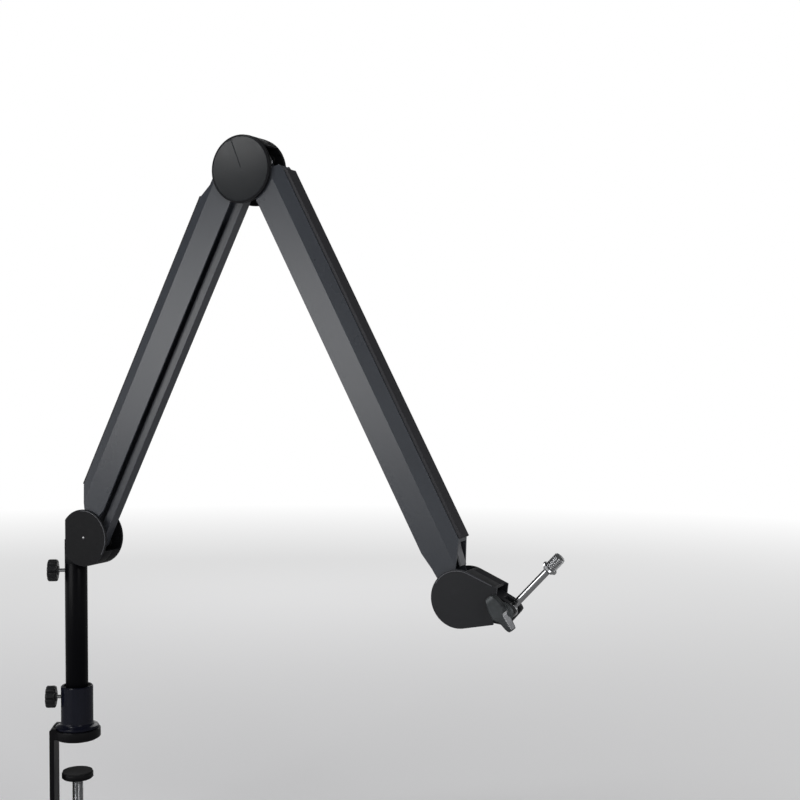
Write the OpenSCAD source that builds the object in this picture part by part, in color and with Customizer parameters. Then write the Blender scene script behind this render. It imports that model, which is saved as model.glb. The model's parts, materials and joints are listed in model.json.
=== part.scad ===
// Microphone boom arm on a desk clamp: a post, two parallelogram arms and a tilting threaded rod.
// Millimetres. The origin is the centre of the round jaw's underside, on the post's axis. +Z is up,
// every arm hinge runs along Y and the arms lie in the XZ plane.

/* [Arms] */
// Place of the lower arm's pivot in the yoke, X then Z
yoke_at = [18.3, 184.6];
// Lower arm's length, pivot to pivot
lower_span = 358; // [280:1:420]
// Upper arm's length, pivot to pivot
upper_span = 394; // [300:1:460]
// Lower arm's angle above the desk at rest, in degrees
lower_rest = 63; // [55:1:66]
// Upper arm's angle at rest, in degrees
upper_rest = -62; // [-66:1:-55]
// Distance of the lower link's pivots from the lower arm's
lower_link_gap = 12.5; // [12:0.1:13]
// Distance of the upper link's pivots from the upper arm's
upper_link_gap = 16; // [15.5:0.1:16.5]
// Direction of the upper link's pivots from the upper arm's, in degrees
upper_link_turn = -79; // [-80:1:-78]

/* [Arm covers] */
// Height of a cover's flat side
panel_h = 21.8; // [20:0.1:23]
// How far the lower cover's middle line lies outside its pivots
panel_shift = 3.5; // [3:0.1:4]
// Thickness of the folded sheet
cover_wall = 1.4; // [1:0.1:1.4]
// Height of the lower cover's fold above its middle line
lower_fold = 11.8; // [11:0.1:12.6]
// Height of the lower cover's top above its middle line
lower_top = 20.1; // [19:0.1:21]
// Height of the upper cover's fold above its middle line
upper_fold = 10.9; // [10.4:0.1:12]
// Height of the upper cover's top above its middle line
upper_top = 22.2; // [21:0.1:23]
// Half width of a cover's top
top_half = 8; // [7.5:0.1:9]
// Radius of the eyes at an arm's ends
eye_r = 6.9; // [6:0.1:6.9]
// Half width of the strip over the cable channel
strip_half = 7.3; // [5:0.1:7.4]
// Height of the strip on the lower cover
lower_strip_t = 1.8; // [1:0.1:2.4]
// Height of the strip on the upper cover
upper_strip_t = 2.8; // [1.4:0.1:3.2]
// Distances of the lower strip's ends from the pivots, at the yoke then at the elbow
lower_strip_ends = [41, 37.5];
// Distances of the upper strip's ends from the pivots, at the elbow then at the head
upper_strip_ends = [21, 41];
// Half width of the cable guide
guide_half = 5; // [3:0.1:5.5]

/* [Links] */
// Width of a link
link_w = 10; // [9:0.1:10.2]
// Height of a link
link_h = 7.2; // [6.6:0.1:7.4]
// Thickness of a link's walls
link_wall = 1.4; // [1:0.1:1.6]
// Thickness of the upper link's tongue in the elbow
tongue_t = 6.6; // [6:0.1:6.6]

/* [Stack of layers across the arms] */
// Half distance between the inner steel plates
plate_in = 7; // [6.8:0.1:7]
// Thickness of the inner steel plates
plate_t = 1.6; // [1.2:0.1:1.6]
// Side clearance between two layers
side_gap = 0.3; // [0.2:0.05:0.4]
// Thickness of the round elbow covers
elbow_cover_t = 1.4; // [1.2:0.1:1.8]
// Thickness of the yoke's and the head's shells
shell_t = 1.6; // [1.2:0.1:1.8]
// Radial clearance of a pin that turns
run_gap = 0.05; // [0.02:0.01:0.08]
// Radial clearance at the links' far pivots
loose_gap = 0.3; // [0.2:0.05:0.35]

/* [Pivots] */
// Radius of an arm's pivot
pivot_r = 2.5; // [2:0.1:3]
// Radius of a link's pivot
link_pin_r = 2; // [1.5:0.1:2.2]
// Outer radius of the spacers beside the links
spacer_r = 3; // [2.7:0.1:3.2]
// Radius of a spring's pin
spring_pin_r = 1.6; // [1.2:0.1:1.8]
// Height of the springs above an arm's pivots
spring_rise = 8; // [7.5:0.1:8.5]
// Distance from an arm's pivot to its spring post
spring_reach = 132; // [110:1:160]
// Outer radius of a spring
spring_r = 3.2; // [2.8:0.1:3.3]
// Radius of the spring's wire
wire_r = 0.6; // [0.4:0.05:0.8]

/* [Yoke] */
// Radius of the yoke's shells
yoke_r = 25.3; // [24:0.1:27]
// Distance from the pivot to the shells' flat back
yoke_back = 20.3; // [19:0.1:21]
// Where the shells' bottom wall starts, in degrees
yoke_wall_from = -106; // [-110:1:-100]
// Where the shells' bottom wall ends, in degrees
yoke_wall_to = -26; // [-40:1:-26]

/* [Elbow] */
// Elbow's centre from the lower arm's pivot, X then Z
elbow_from_lower = [5.2, -2.75];
// Upper arm's pivot from the elbow's centre, X then Z
upper_from_elbow = [9.07, 5.19];
// Radius of the elbow
elbow_r = 28.3; // [27:0.1:30]
// Where the elbow's rim starts, in degrees
rim_from = 42; // [42:1:50]
// Where the elbow's rim ends, in degrees
rim_to = 133; // [125:1:133]
// Directions of the screws that join the elbow's covers, in degrees
elbow_screw_turns = [109, 69];
// Distance of these screws from the elbow's edge
elbow_screw_in = 9; // [8.5:0.1:10]

/* [Head] */
// Head's centre from the upper arm's pivot, X then Z
head_from_upper = [1.62, 0.93];
// Radius of the head's round part
head_r = 22.8; // [21:0.1:24]
// Upper corner of the head's mouth, from its centre
mouth_top = [32.2, 11];
// Lower corner of the head's mouth, from its centre
mouth_low = [28.9, -17.4];
// Screws that hold the head's shells, from its centre
head_screw_at = [18, 1];

/* [Swivel] */
// Swivel's axis from the head's centre, X then Z
swivel_from_head = [38, -7];
// Distance from the swivel's axis to the back of the fork's block
fork_back = 10.5; // [9:0.1:11]
// Front corners of the fork's block from the swivel's axis, X then Z
fork_front = [[3, 6.9], [7.9, 0.4], [6.3, -2.1], [-1.1, -10.5]];
// Slope of the fork block's upper side, in degrees
fork_slope = 26.5; // [20:0.5:30]
// Half width of the fork
fork_half = 9.5; // [9.2:0.1:10]
// Half width of the slot between its ears
slot_half = 4.3; // [4:0.1:4.6]
// Radius of the rod's eye
rod_eye_r = 6; // [5:0.1:6.2]
// Side clearance between the eye and the ears
eye_side_gap = 0.3; // [0.2:0.05:0.4]
// Radius of the bolt through the swivel
bolt_r = 3; // [2.5:0.1:3]
// Angle of the rod above the desk, in degrees
rod_angle = 46.8; // [30:0.1:60]
// Radius of the rod
rod_r = 2.8; // [2.2:0.1:3.4]
// Distance from the swivel's axis to the fitting's foot
fitting_at = 44; // [36:0.5:60]
// Outer radius of the 3/8 inch thread
thread_r = 4.7625;
// Depth of the relief under the lock ring
relief = 0.5; // [0.4:0.05:0.8]
// Length of the threaded fitting
thread_len = 15; // [12:0.5:20]
// Radius of the lock ring
ring_r = 6.2; // [5.8:0.1:7]
// Thickness of the lock ring
ring_t = 2.4; // [2:0.1:3]
// Distance from the fitting's foot to the lock ring
ring_at = 1.6; // [1:0.1:3]
// Half length of the wings
wing_half = 16.3; // [14:0.1:17]
// Half width of a wing near its end
wing_tip = 3.8; // [3:0.1:4.6]
// Radius of the wing knob's hub
wing_hub_r = 7; // [6:0.1:7.4]
// Angle of the wings, in degrees
wing_angle = -48; // [-60:1:-30]
// Thickness of the wing knob
wing_depth = 9.5; // [8:0.5:12]

/* [Post] */
// Outer radius of the post
post_r = 10; // [9.5:0.1:10]
// Wall of the post's tube
post_wall = 1.5; // [1:0.1:1.8]
// Height of the post's upper end
post_top = 160; // [158:0.5:161]
// Radial clearance of the yoke's spigot in the post
spigot_gap = 0.08; // [0.04:0.01:0.1]
// Length of the spigot inside the post
spigot_len = 46; // [30:1:80]

/* [Socket] */
// Outer radius of the collar
collar_r = 14.3; // [13.6:0.1:15]
// Height of the collar's mouth
collar_top = 48; // [44:0.5:60]
// Radius of the collar's bore, round the liner
collar_bore_r = 12.1; // [11.5:0.1:12.3]
// Height of the socket's floor
socket_floor = 14; // [13.5:0.5:16]
// Radius of the raised ring round the collar
ring_foot_r = 19.3; // [17.5:0.1:20]
// Thickness of the gap under the raised ring
groove_h = 0.6; // [0.4:0.1:1]

/* [Thumbscrews] */
// Compass direction of both thumbscrews, in degrees
thumb_turn = 212; // [180:1:240]
// Height of the lower thumbscrew
lower_thumb_z = 38; // [30:0.5:42]
// Height of the upper thumbscrew
upper_thumb_z = 153; // [130:0.5:154]
// Radius of a thumbscrew's knob
knob_r = 9.7; // [8:0.1:11]
// Thickness of a knob
knob_t = 9.6; // [8:0.1:12]
// Radius of a thumbscrew's stud
stud_r = 1.6; // [1.2:0.1:2.5]
// Gap between a knob and what it screws into
knob_stand = 3.4; // [2:0.1:6]
// Scallops round a knob
knob_lobes = 10; // [6:1:12]

/* [Clamp] */
// Compass direction of the clamp's back, in degrees
clamp_turn = 210; // [180:1:240]
// Radius of the clamp's round upper jaw
jaw_r = 20.8; // [20:0.1:24]
// Height of the upper jaw's top
jaw_top = 9.2; // [8:0.1:10]
// Thickness of the pad under the upper jaw
jaw_pad_t = 1.2; // [1:0.1:2]
// Distance from the post's axis to the inside of the clamp's back
back_in = 18.6; // [18:0.1:22]
// Thickness of the clamp's back
back_t = 4.2; // [4:0.1:8]
// Width of the clamp's back and lower leg
back_w = 24; // [20:1:30]
// Height of the back's shoulder above the desk
shoulder_z = 11.4; // [10.5:0.1:12]
// Small bevel round the upper jaw's rim
jaw_bevel = 0.5; // [0.3:0.1:0.8]
// Distance of the socket's screws from the post's axis
socket_screw_out = 14; // [12:0.1:15]
// Radius of the socket's screws
socket_screw_r = 2; // [1.5:0.1:2.5]
// Radius of the heads of the socket's screws
socket_head_r = 4; // [3.5:0.1:4.5]
// Height of the heads of the socket's screws
socket_head_t = 2.5; // [2:0.1:3]
// Bevel on the back's shoulder
shoulder_bevel = 2; // [1:0.1:2.5]
// Bevel on the lower leg's corner
leg_bevel = 4; // [2:0.1:6]
// Largest opening of the jaws
jaw_gap = 68; // [60:1:90]
// Thickness of the lower leg
leg_t = 12; // [9:0.5:16]
// Radius of the clamp screw
clamp_screw_r = 5; // [4:0.1:6]
// Thickness of the desk that the clamp is set to
desk_t = 30; // [12:1:38]
// Radius of the clamp's foot
foot_r = 14; // [12:0.5:17]
// Thickness of the foot plate
foot_t = 5; // [4:0.5:7]
// Thickness of the foot's pad
foot_pad_t = 1.6; // [1:0.1:2.5]
// Length of the clamp screw below the foot
clamp_screw_len = 82; // [80:1:110]
// Radius of the screw's head
screw_head_r = 7; // [6:0.1:8]
// Length of the turning bar
bar_len = 62; // [40:1:80]
// Radius of the turning bar
bar_r = 2.3; // [2:0.1:3]

/* [Hidden] */
$fn = 64;
eps = 0.01;

function along(angle, d) = [d * cos(angle), d * sin(angle)];

lower_pin = yoke_at;
lower_far = lower_pin + along(lower_rest, lower_span);
elbow_at = lower_far + elbow_from_lower;
upper_pin = elbow_at + upper_from_elbow;
upper_far = upper_pin + along(upper_rest, upper_span);
head_at = upper_far + head_from_upper;
swivel_at = head_at + swivel_from_head;
lower_link_off = along(lower_rest - 90, lower_link_gap);
upper_link_off = along(upper_link_turn, upper_link_gap);
link_base = lower_pin + lower_link_off;
link_elbow = lower_far + lower_link_off;
second_elbow = upper_pin + upper_link_off;
second_head = upper_far + upper_link_off;
lower_spring_at = lower_pin + along(lower_rest + 90, spring_rise);
upper_spring_at = upper_pin + along(upper_rest + 90, spring_rise);

plate_out = plate_in + plate_t;
cover_in = plate_out + side_gap;
cover_out = cover_in + cover_wall;
shell_in = cover_out + side_gap;
shell_out = shell_in + shell_t;
elbow_out = shell_in + elbow_cover_t;
link_half = link_w / 2;
link_end_r = link_h / 2;
layer_gap = side_gap / 2;
pin_fit = run_gap;
screw_r = 1.5;
screw_head_t = 1;
screw_head_wide = 2.8;
boss_r = 3;

spigot_r = post_r - post_wall - spigot_gap;
neck_top = post_top + 21;
neck_flat = post_top + 8;
socket_bottom = jaw_top;
liner_top = collar_top - 1.5;
plug_flange_t = 1.6;
post_bottom = socket_floor + 0.1 + plug_flange_t;
foot_top = -desk_t;
foot_bottom = foot_top - foot_pad_t - foot_t;
leg_top = -jaw_gap;
screw_bottom = foot_bottom - clamp_screw_len;
bar_z = screw_bottom + screw_head_r;
relief_r = thread_r - relief;
jaw_pad_r = min(jaw_r, back_in) - side_gap;
elbow_screw_at = [for (turn = elbow_screw_turns) along(turn, elbow_r - elbow_screw_in)];
plate_end = swivel_from_head[0] - fork_back - 0.5;
washer_t = 0.9;

// Puts what follows at a place in the arms' plane
module at(p) { translate([p[0], 0, p[1]]) children(); }

// Puts what follows in an arm's own frame: X along the arm, Z outward
module arm_frame(p, angle) { at(p) rotate([0, -angle, 0]) children(); }

// A round bar along Y
module bar_y(r, from, to) { translate([0, to, 0]) rotate([90, 0, 0]) cylinder(r = r, h = to - from); }

// A plate that stands in the arms' plane
module plate_y(from, to) { translate([0, to, 0]) rotate([90, 0, 0]) linear_extrude(to - from) children(); }

// The same thing on the near and on the far side
module both_sides() {
    children();
    mirror([0, 1, 0]) children();
}

// A bar between two round ends, drawn flat
module slot_2d(p, q, r) {
    d = q - p;
    translate(p) circle(r);
    translate(q) circle(r);
    translate(p) rotate(atan2(d[1], d[0])) translate([0, -r]) square([norm(d), 2 * r]);
}

// A sector of a flat ring
module arc_2d(r_out, r_in, from, to) {
    difference() {
        intersection() {
            circle(r_out);
            polygon(concat([[0, 0]], [for (i = [0:6])
                along(from + (to - from) * i / 6, 2 * r_out)]));
        }
        circle(r_in);
    }
}

/* Clamp */
module clamp_frame() color("#24262b") difference() {
    union() {
        translate([0, 0, jaw_pad_t]) cylinder(r1 = jaw_r - jaw_bevel, r2 = jaw_r, h = jaw_bevel);
        translate([0, 0, jaw_pad_t + jaw_bevel])
            cylinder(r = jaw_r, h = jaw_top - jaw_pad_t - 2 * jaw_bevel);
        translate([0, 0, jaw_top - jaw_bevel]) cylinder(r1 = jaw_r, r2 = jaw_r - jaw_bevel, h = jaw_bevel);
        rotate(clamp_turn) clamp_back();
    }
    translate([0, 0, jaw_top]) cylinder(r = ring_foot_r + 1.2, h = shoulder_z);
    translate([0, 0, leg_top - leg_t - 1]) cylinder(r = clamp_screw_r + pin_fit, h = leg_t + 2);
    socket_screw_places() translate([0, 0, jaw_pad_t - 1])
        cylinder(r = socket_screw_r + pin_fit, h = jaw_top);
    socket_screw_places() translate([0, 0, jaw_pad_t - 1])
        cylinder(r = socket_head_r + 0.1, h = socket_head_t + 1.1);
}

// The clamp's back with its lower leg, along X
module clamp_back() {
    rotate([90, 0, 0]) translate([0, 0, -back_w / 2]) linear_extrude(back_w) polygon([
        [back_in, leg_top], [back_in, jaw_pad_t], [0, jaw_pad_t], [0, jaw_top - 0.6],
        [back_in - 1, shoulder_z], [back_in + back_t - shoulder_bevel, shoulder_z],
        [back_in + back_t, shoulder_z - shoulder_bevel], [back_in + back_t, leg_top - leg_t + leg_bevel],
        [back_in + back_t - leg_bevel, leg_top - leg_t], [0, leg_top - leg_t], [0, leg_top]]);
    translate([0, 0, leg_top - leg_t]) cylinder(r = back_w / 2, h = leg_t);
}

module socket_screw_places() for (i = [0:2])
    rotate(clamp_turn + 60 + 120 * i) translate([socket_screw_out, 0, 0]) children();

module jaw_pad() color("#17181a") cylinder(r = jaw_pad_r, h = jaw_pad_t);

module mast_socket() color("#2b2e35") difference() {
    rotate_extrude() polygon([[0, socket_bottom], [ring_foot_r - 1.4, socket_bottom],
        [ring_foot_r - 1.4, socket_bottom + groove_h], [ring_foot_r, socket_bottom + groove_h + 0.2],
        [ring_foot_r, socket_bottom + 1.9], [ring_foot_r - 0.5, socket_bottom + 2.5],
        [ring_foot_r - 1.6, socket_bottom + 2.9], [collar_r + 1.4, socket_bottom + 3.6],
        [collar_r + 0.4, socket_bottom + 4.6], [collar_r, socket_bottom + 6.2],
        [collar_r, collar_top - 0.7], [collar_r - 0.7, collar_top], [collar_bore_r + 0.3, collar_top],
        [collar_bore_r, collar_top - 0.5], [collar_bore_r, socket_floor], [0, socket_floor]]);
    socket_screw_places() translate([0, 0, socket_bottom - 1])
        cylinder(r = socket_screw_r + pin_fit, h = 4.4);
    rotate(thumb_turn) translate([0, 0, lower_thumb_z]) rotate([0, 90, 0])
        cylinder(r = stud_r + pin_fit, h = 2 * collar_r);
}

module socket_screws() color("silver") socket_screw_places() {
    translate([0, 0, jaw_pad_t + 0.1]) cylinder(r = socket_screw_r, h = socket_bottom + 2.2 - jaw_pad_t);
    translate([0, 0, jaw_pad_t + 0.1]) cylinder(r = socket_head_r, h = socket_head_t);
}

module collar_liner() color("#15161a") difference() {
    translate([0, 0, socket_floor]) cylinder(r = collar_bore_r - pin_fit, h = liner_top - socket_floor);
    translate([0, 0, socket_floor - 1]) cylinder(r = post_r + run_gap, h = collar_top);
    rotate(thumb_turn) translate([0, 0, lower_thumb_z]) rotate([0, 90, 0])
        cylinder(r = stud_r + 0.3, h = 2 * collar_r);
}

module foot_plate() color("#24262b") difference() {
    union() {
        translate([0, 0, foot_bottom + 1]) cylinder(r = foot_r, h = foot_t - 1);
        translate([0, 0, foot_bottom]) cylinder(r1 = foot_r - 1, r2 = foot_r, h = 1);
    }
    translate([0, 0, foot_bottom - 1]) cylinder(r = clamp_screw_r - 1 + run_gap, h = foot_t - 0.5);
}

module foot_pad() color("#17181a") translate([0, 0, foot_top - foot_pad_t])
    cylinder(r = foot_r - 0.8, h = foot_pad_t);

module clamp_screw() color("silver") difference() {
    union() {
        translate([0, 0, bar_z]) cylinder(r = clamp_screw_r, h = foot_bottom - 0.2 - bar_z);
        translate([0, 0, bar_z]) cylinder(r = clamp_screw_r - 1, h = foot_bottom + foot_t - 1.8 - bar_z);
        translate([0, 0, screw_bottom]) cylinder(r = screw_head_r, h = 2 * screw_head_r);
    }
    translate([0, 0, bar_z]) rotate(clamp_turn + 90) rotate([0, 90, 0])
        translate([0, 0, -2 * screw_head_r]) cylinder(r = bar_r + run_gap, h = 4 * screw_head_r);
}

module turning_bar() color("silver") translate([0, 0, bar_z]) rotate(clamp_turn + 90)
    rotate([0, 90, 0]) translate([0, 0, -bar_len / 2]) cylinder(r = bar_r, h = bar_len);

module bar_caps() color("#17181a") translate([0, 0, bar_z]) rotate(clamp_turn + 90)
    for (s = [-1, 1]) rotate([0, 90 * s, 0]) translate([0, 0, bar_len / 2 - 6]) difference() {
        cylinder(r = bar_r + 1.6, h = 7.5);
        translate([0, 0, -1]) cylinder(r = bar_r + run_gap, h = 7);
    }

/* Thumbscrews */
// A stud and its knob along X, from a tip to the knob's back
module thumb_place(z) { translate([0, 0, z]) rotate(thumb_turn) rotate([0, 90, 0]) children(); }

module thumb_knob(from) difference() {
    translate([0, 0, from]) cylinder(r = knob_r, h = knob_t);
    translate([0, 0, from - 1]) cylinder(r = stud_r + pin_fit, h = knob_t - 1.5);
    for (i = [0:knob_lobes - 1]) rotate(360 / knob_lobes * i) translate([knob_r + 1.6, 0, from - 1])
        cylinder(r = 2.4, h = knob_t + 2, $fn = 24);
    translate([0, 0, from + knob_t - 1.2]) cylinder(r = knob_r - 4, h = 2);
}

module lower_knob() color("#3a3c42") thumb_place(lower_thumb_z) thumb_knob(collar_r + knob_stand);

module lower_stud() color("silver") thumb_place(lower_thumb_z)
    translate([0, 0, post_r + 0.3]) cylinder(r = stud_r, h = collar_r + knob_stand + knob_t - 3 - post_r);

module upper_knob() color("#3a3c42") thumb_place(upper_thumb_z) thumb_knob(post_r + 1.8 + knob_stand);

module upper_stud() color("silver") thumb_place(upper_thumb_z)
    translate([0, 0, spigot_r + 0.3])
        cylinder(r = stud_r, h = post_r + 1.5 + knob_stand + knob_t - 3 - spigot_r);

/* Post */
module mast_tube() color("#1b1c20") difference() {
    translate([0, 0, post_bottom]) cylinder(r = post_r, h = post_top - post_bottom);
    translate([0, 0, post_bottom - 1]) cylinder(r = post_r - post_wall, h = post_top);
    thumb_place(upper_thumb_z) cylinder(r = stud_r + pin_fit, h = 2 * post_r);
}

module mast_plug() color("#15161a") union() {
    translate([0, 0, post_bottom - plug_flange_t]) cylinder(r = post_r - 0.4, h = plug_flange_t);
    translate([0, 0, post_bottom]) cylinder(r = post_r - post_wall - pin_fit, h = 10);
}

/* Yoke */
module yoke_spigot() color("#202227") difference() {
    union() {
        translate([0, 0, post_top - spigot_len]) cylinder(r = spigot_r, h = spigot_len);
        translate([0, 0, post_top + 0.1]) cylinder(r = post_r, h = neck_flat - post_top);
        intersection() {
            translate([0, 0, post_top]) cylinder(r = post_r, h = neck_top - post_top);
            translate([-post_r, -plate_in, neck_flat])
                cube([2 * post_r, 2 * plate_in, neck_top - neck_flat]);
        }
    }
    translate([0, 0, post_top + 14]) bar_y(link_pin_r + pin_fit, -2 * post_r, 2 * post_r);
}

module spigot_pin() color("silver") translate([0, 0, post_top + 14])
    bar_y(link_pin_r, -plate_out, plate_out);

module yoke_bracket() color("#8d9096") both_sides() difference() {
    plate_y(plate_in, plate_out) yoke_bracket_2d();
    at(lower_pin) bar_y(pivot_r + pin_fit, 0, 2 * shell_out);
    at(link_base) bar_y(link_pin_r + pin_fit, 0, 2 * shell_out);
    at(lower_spring_at) bar_y(spring_pin_r + pin_fit, 0, 2 * shell_out);
    translate([0, 0, post_top + 14]) bar_y(link_pin_r + pin_fit, 0, 2 * shell_out);
}

module yoke_bracket_2d() {
    slot_2d(lower_pin, link_base, 4.4);
    slot_2d([0, neck_flat + 6], lower_pin, 6);
    slot_2d(lower_pin, lower_spring_at, 4);
    slot_2d([0, neck_flat + 6], lower_spring_at, 4);
}

// One half of the yoke's cup: a round side with a flat back, and half of the bottom wall
module yoke_shell(hole_r) at(yoke_at) difference() {
    union() {
        plate_y(shell_in, shell_out) intersection() {
            circle(yoke_r);
            translate([-yoke_back, -yoke_r]) square([2 * yoke_r, 2 * yoke_r]);
        }
        plate_y(eps, shell_in + 0.2) arc_2d(yoke_r, yoke_r - shell_t, yoke_wall_from, yoke_wall_to);
        translate([-yoke_at[0], 0, neck_flat + 6 - yoke_at[1]]) bar_y(boss_r, plate_out, shell_in + 0.2);
    }
    bar_y(hole_r + pin_fit, 0, 2 * shell_out);
}

module yoke_near_shell() color("#26272b") mirror([0, 1, 0]) yoke_shell(screw_r);

module yoke_far_shell() color("#26272b") yoke_shell(pivot_r);

module yoke_pivot() color("silver") at(lower_pin) {
    bar_y(pivot_r, -shell_in, shell_out);
    bar_y(screw_r, -shell_out + 0.3, -shell_in + 1);
    bar_y(pivot_r + 1.4, shell_out, shell_out + 1.6);
}

module yoke_link_pin() color("silver") at(link_base) bar_y(link_pin_r, -plate_out, plate_out);

module side_spacers(inner) both_sides() difference() {
    bar_y(spacer_r, inner + layer_gap, plate_in - layer_gap);
    bar_y(link_pin_r + pin_fit, 0, plate_out);
}

module yoke_spacers() color("#c9c9c4") at(link_base) side_spacers(link_half);

module yoke_spring_pin() color("silver") at(lower_spring_at) bar_y(spring_pin_r, -plate_out, plate_out);

/* Arm covers */
// A cover's cross-section: straight sides, shoulders that lean in from a fold, and a flat top
module cover_section(half, low, fold, top_w, top) polygon([[-half, low], [half, low], [half, fold],
    [top_w, top], [-top_w, top], [-half, fold]]);

// A cross-section drawn out along the arm
module drawn_out(from, to)
    translate([from, 0, 0]) rotate([90, 0, 90]) linear_extrude(to - from) children();

// A folded sheet cover, open on its inner side
module cover_sheet(span, fold, top) difference() {
    drawn_out(-eye_r, span + eye_r) cover_section(cover_out, -panel_h / 2, fold, top_half, top);
    drawn_out(-eye_r - 1, span + eye_r + 1)
        cover_section(cover_in, -panel_h, fold, top_half - cover_wall, top - cover_wall);
}

// Outline of the lower cover seen from the side
module lower_outline() {
    low = panel_shift - panel_h / 2;
    high = panel_shift + lower_top;
    circle(eye_r - 0.4);
    translate([lower_span, 0]) circle(eye_r);
    polygon([[0, 0.4 - eye_r], [10, -5.2], [22.4, -3.9], [31.7, low - eps], [lower_span - 30, low - eps],
        [lower_span - 8, -eye_r], [lower_span, -eye_r], [lower_span, eye_r], [lower_span - 6, 9.5],
        [lower_span - 18.3, 18.4], [lower_span - 24.8, 18.5], [lower_span - lower_strip_ends[1], high + eps],
        [lower_strip_ends[0], high + eps], [20.5, 10], [8, 7], [0, eye_r - 0.4]]);
}

module lower_cover() color("#2e3138") arm_frame(lower_pin, lower_rest) difference() {
    intersection() {
        translate([0, 0, panel_shift]) cover_sheet(lower_span, lower_fold, lower_top);
        plate_y(-2 * cover_out, 2 * cover_out) lower_outline();
    }
    bar_y(pivot_r + run_gap, -2 * cover_out, 2 * cover_out);
    translate([lower_span, 0, 0]) bar_y(pivot_r + run_gap, -2 * cover_out, 2 * cover_out);
}

// A raised strip along a cover's top
module cable_strip(span, ends, z, h) translate([ends[0], -strip_half, z])
    cube([span - ends[0] - ends[1], 2 * strip_half, h]);

module lower_cable_strip() color("#15161a") arm_frame(lower_pin, lower_rest)
    cable_strip(lower_span, lower_strip_ends, panel_shift + lower_top, lower_strip_t);

// Outline of the upper cover seen from the side
module upper_outline() {
    low = -panel_h / 2;
    high = upper_top;
    circle(eye_r);
    translate([upper_span, 0]) circle(eye_r - 0.4);
    polygon([[0, -eye_r], [12, -8], [26, low - eps], [upper_span - 44, low - eps],
        [upper_span - 30, -8.3], [upper_span - 21, -7.5], [upper_span, 0.4 - eye_r],
        [upper_span, eye_r - 0.4], [upper_span - 21, 9.6], [upper_span - upper_strip_ends[1], high + eps],
        [upper_strip_ends[0], high + eps], [14.6, 20.6], [13, 11], [6, 8], [0, eye_r]]);
}

module upper_cover() color("#2e3138") arm_frame(upper_pin, upper_rest) difference() {
    intersection() {
        cover_sheet(upper_span, upper_fold, upper_top);
        plate_y(-2 * cover_out, 2 * cover_out) upper_outline();
    }
    bar_y(pivot_r + run_gap, -2 * cover_out, 2 * cover_out);
    translate([upper_span, 0, 0]) bar_y(pivot_r + run_gap, -2 * cover_out, 2 * cover_out);
}

module upper_cable_strip() color("#15161a") arm_frame(upper_pin, upper_rest)
    cable_strip(upper_span, upper_strip_ends, upper_top, upper_strip_t);

module cable_guide() color("#8a8d92") arm_frame(upper_pin, upper_rest) translate([upper_span, 0, 0])
    plate_y(-guide_half, guide_half) {
        root = upper_top - cover_wall;
        polygon([[-62, root], [-49, root], [-36, 15.8], [-22, 13.4], [-22, 11.8], [-36.6, 14.2],
            [-49.5, root - 1.6], [-62, root - 1.6]]);
    }

/* Springs */
module spring_post() translate([spring_reach, 0, spring_rise])
    bar_y(link_pin_r, -cover_in + pin_fit, cover_in - pin_fit);

module lower_spring_post() color("silver") arm_frame(lower_pin, lower_rest) spring_post();

module upper_spring_post() color("silver") arm_frame(upper_pin, upper_rest) spring_post();

// A flattened wire loop round a pin
module spring_loop(pin_r) difference() {
    bar_y(pin_r + 0.1 + 2 * wire_r, -wire_r, wire_r);
    bar_y(pin_r + 0.1, -2 * wire_r, 2 * wire_r);
}

// A pair of springs side by side from the pivot's pin to the post
module spring_pair() for (s = [-1, 1]) translate([0, s * (spring_r + 0.2), spring_rise]) {
    spring_loop(spring_pin_r);
    translate([spring_reach, 0, 0]) spring_loop(link_pin_r);
    translate([20, 0, 0]) rotate([0, 90, 0]) cylinder(r = spring_r, h = spring_reach - 40);
    translate([spring_pin_r + wire_r, 0, 0]) rotate([0, 90, 0])
        cylinder(r = wire_r, h = spring_reach - spring_pin_r - link_pin_r - 2 * wire_r);
}

module lower_springs() color("#a8abb0") arm_frame(lower_pin, lower_rest) spring_pair();

module upper_springs() color("#a8abb0") arm_frame(upper_pin, upper_rest) spring_pair();

/* Links */
// A trough: two sides and a floor, from one distance to another
module link_trough(from, to) difference() {
    translate([from, -link_half, -link_end_r]) cube([to - from, link_w, link_h]);
    translate([from - 1, link_wall - link_half, link_wall - link_end_r])
        cube([to - from + 2, link_w - 2 * link_wall, link_h]);
}

// The two round ears at a trough's end
module link_ears(u) both_sides() translate([u, 0, 0]) bar_y(link_end_r, link_half - link_wall, link_half);

module lower_link() color("#33363d") arm_frame(link_base, lower_rest) difference() {
    union() {
        link_trough(0, lower_span);
        link_ears(0);
        link_ears(lower_span);
    }
    translate([lower_span - 15, link_wall - link_half, -link_h])
        cube([30, link_w - 2 * link_wall, 2 * link_h]);
    bar_y(link_pin_r + run_gap, -link_w, link_w);
    translate([lower_span, 0, 0]) bar_y(link_pin_r + loose_gap, -link_w, link_w);
}

module upper_link() color("#33363d") arm_frame(second_elbow, upper_rest) difference() {
    union() {
        plate_y(-tongue_t / 2, tongue_t / 2) slot_2d([0, 0], [20, 0], link_end_r);
        link_trough(14, upper_span);
        translate([14, -link_half, -link_end_r]) cube([6, link_w, link_h]);
        link_ears(upper_span);
    }
    bar_y(link_pin_r + run_gap, -link_w, link_w);
    translate([upper_span, 0, 0]) bar_y(link_pin_r + loose_gap, -link_w, link_w);
}

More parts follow.
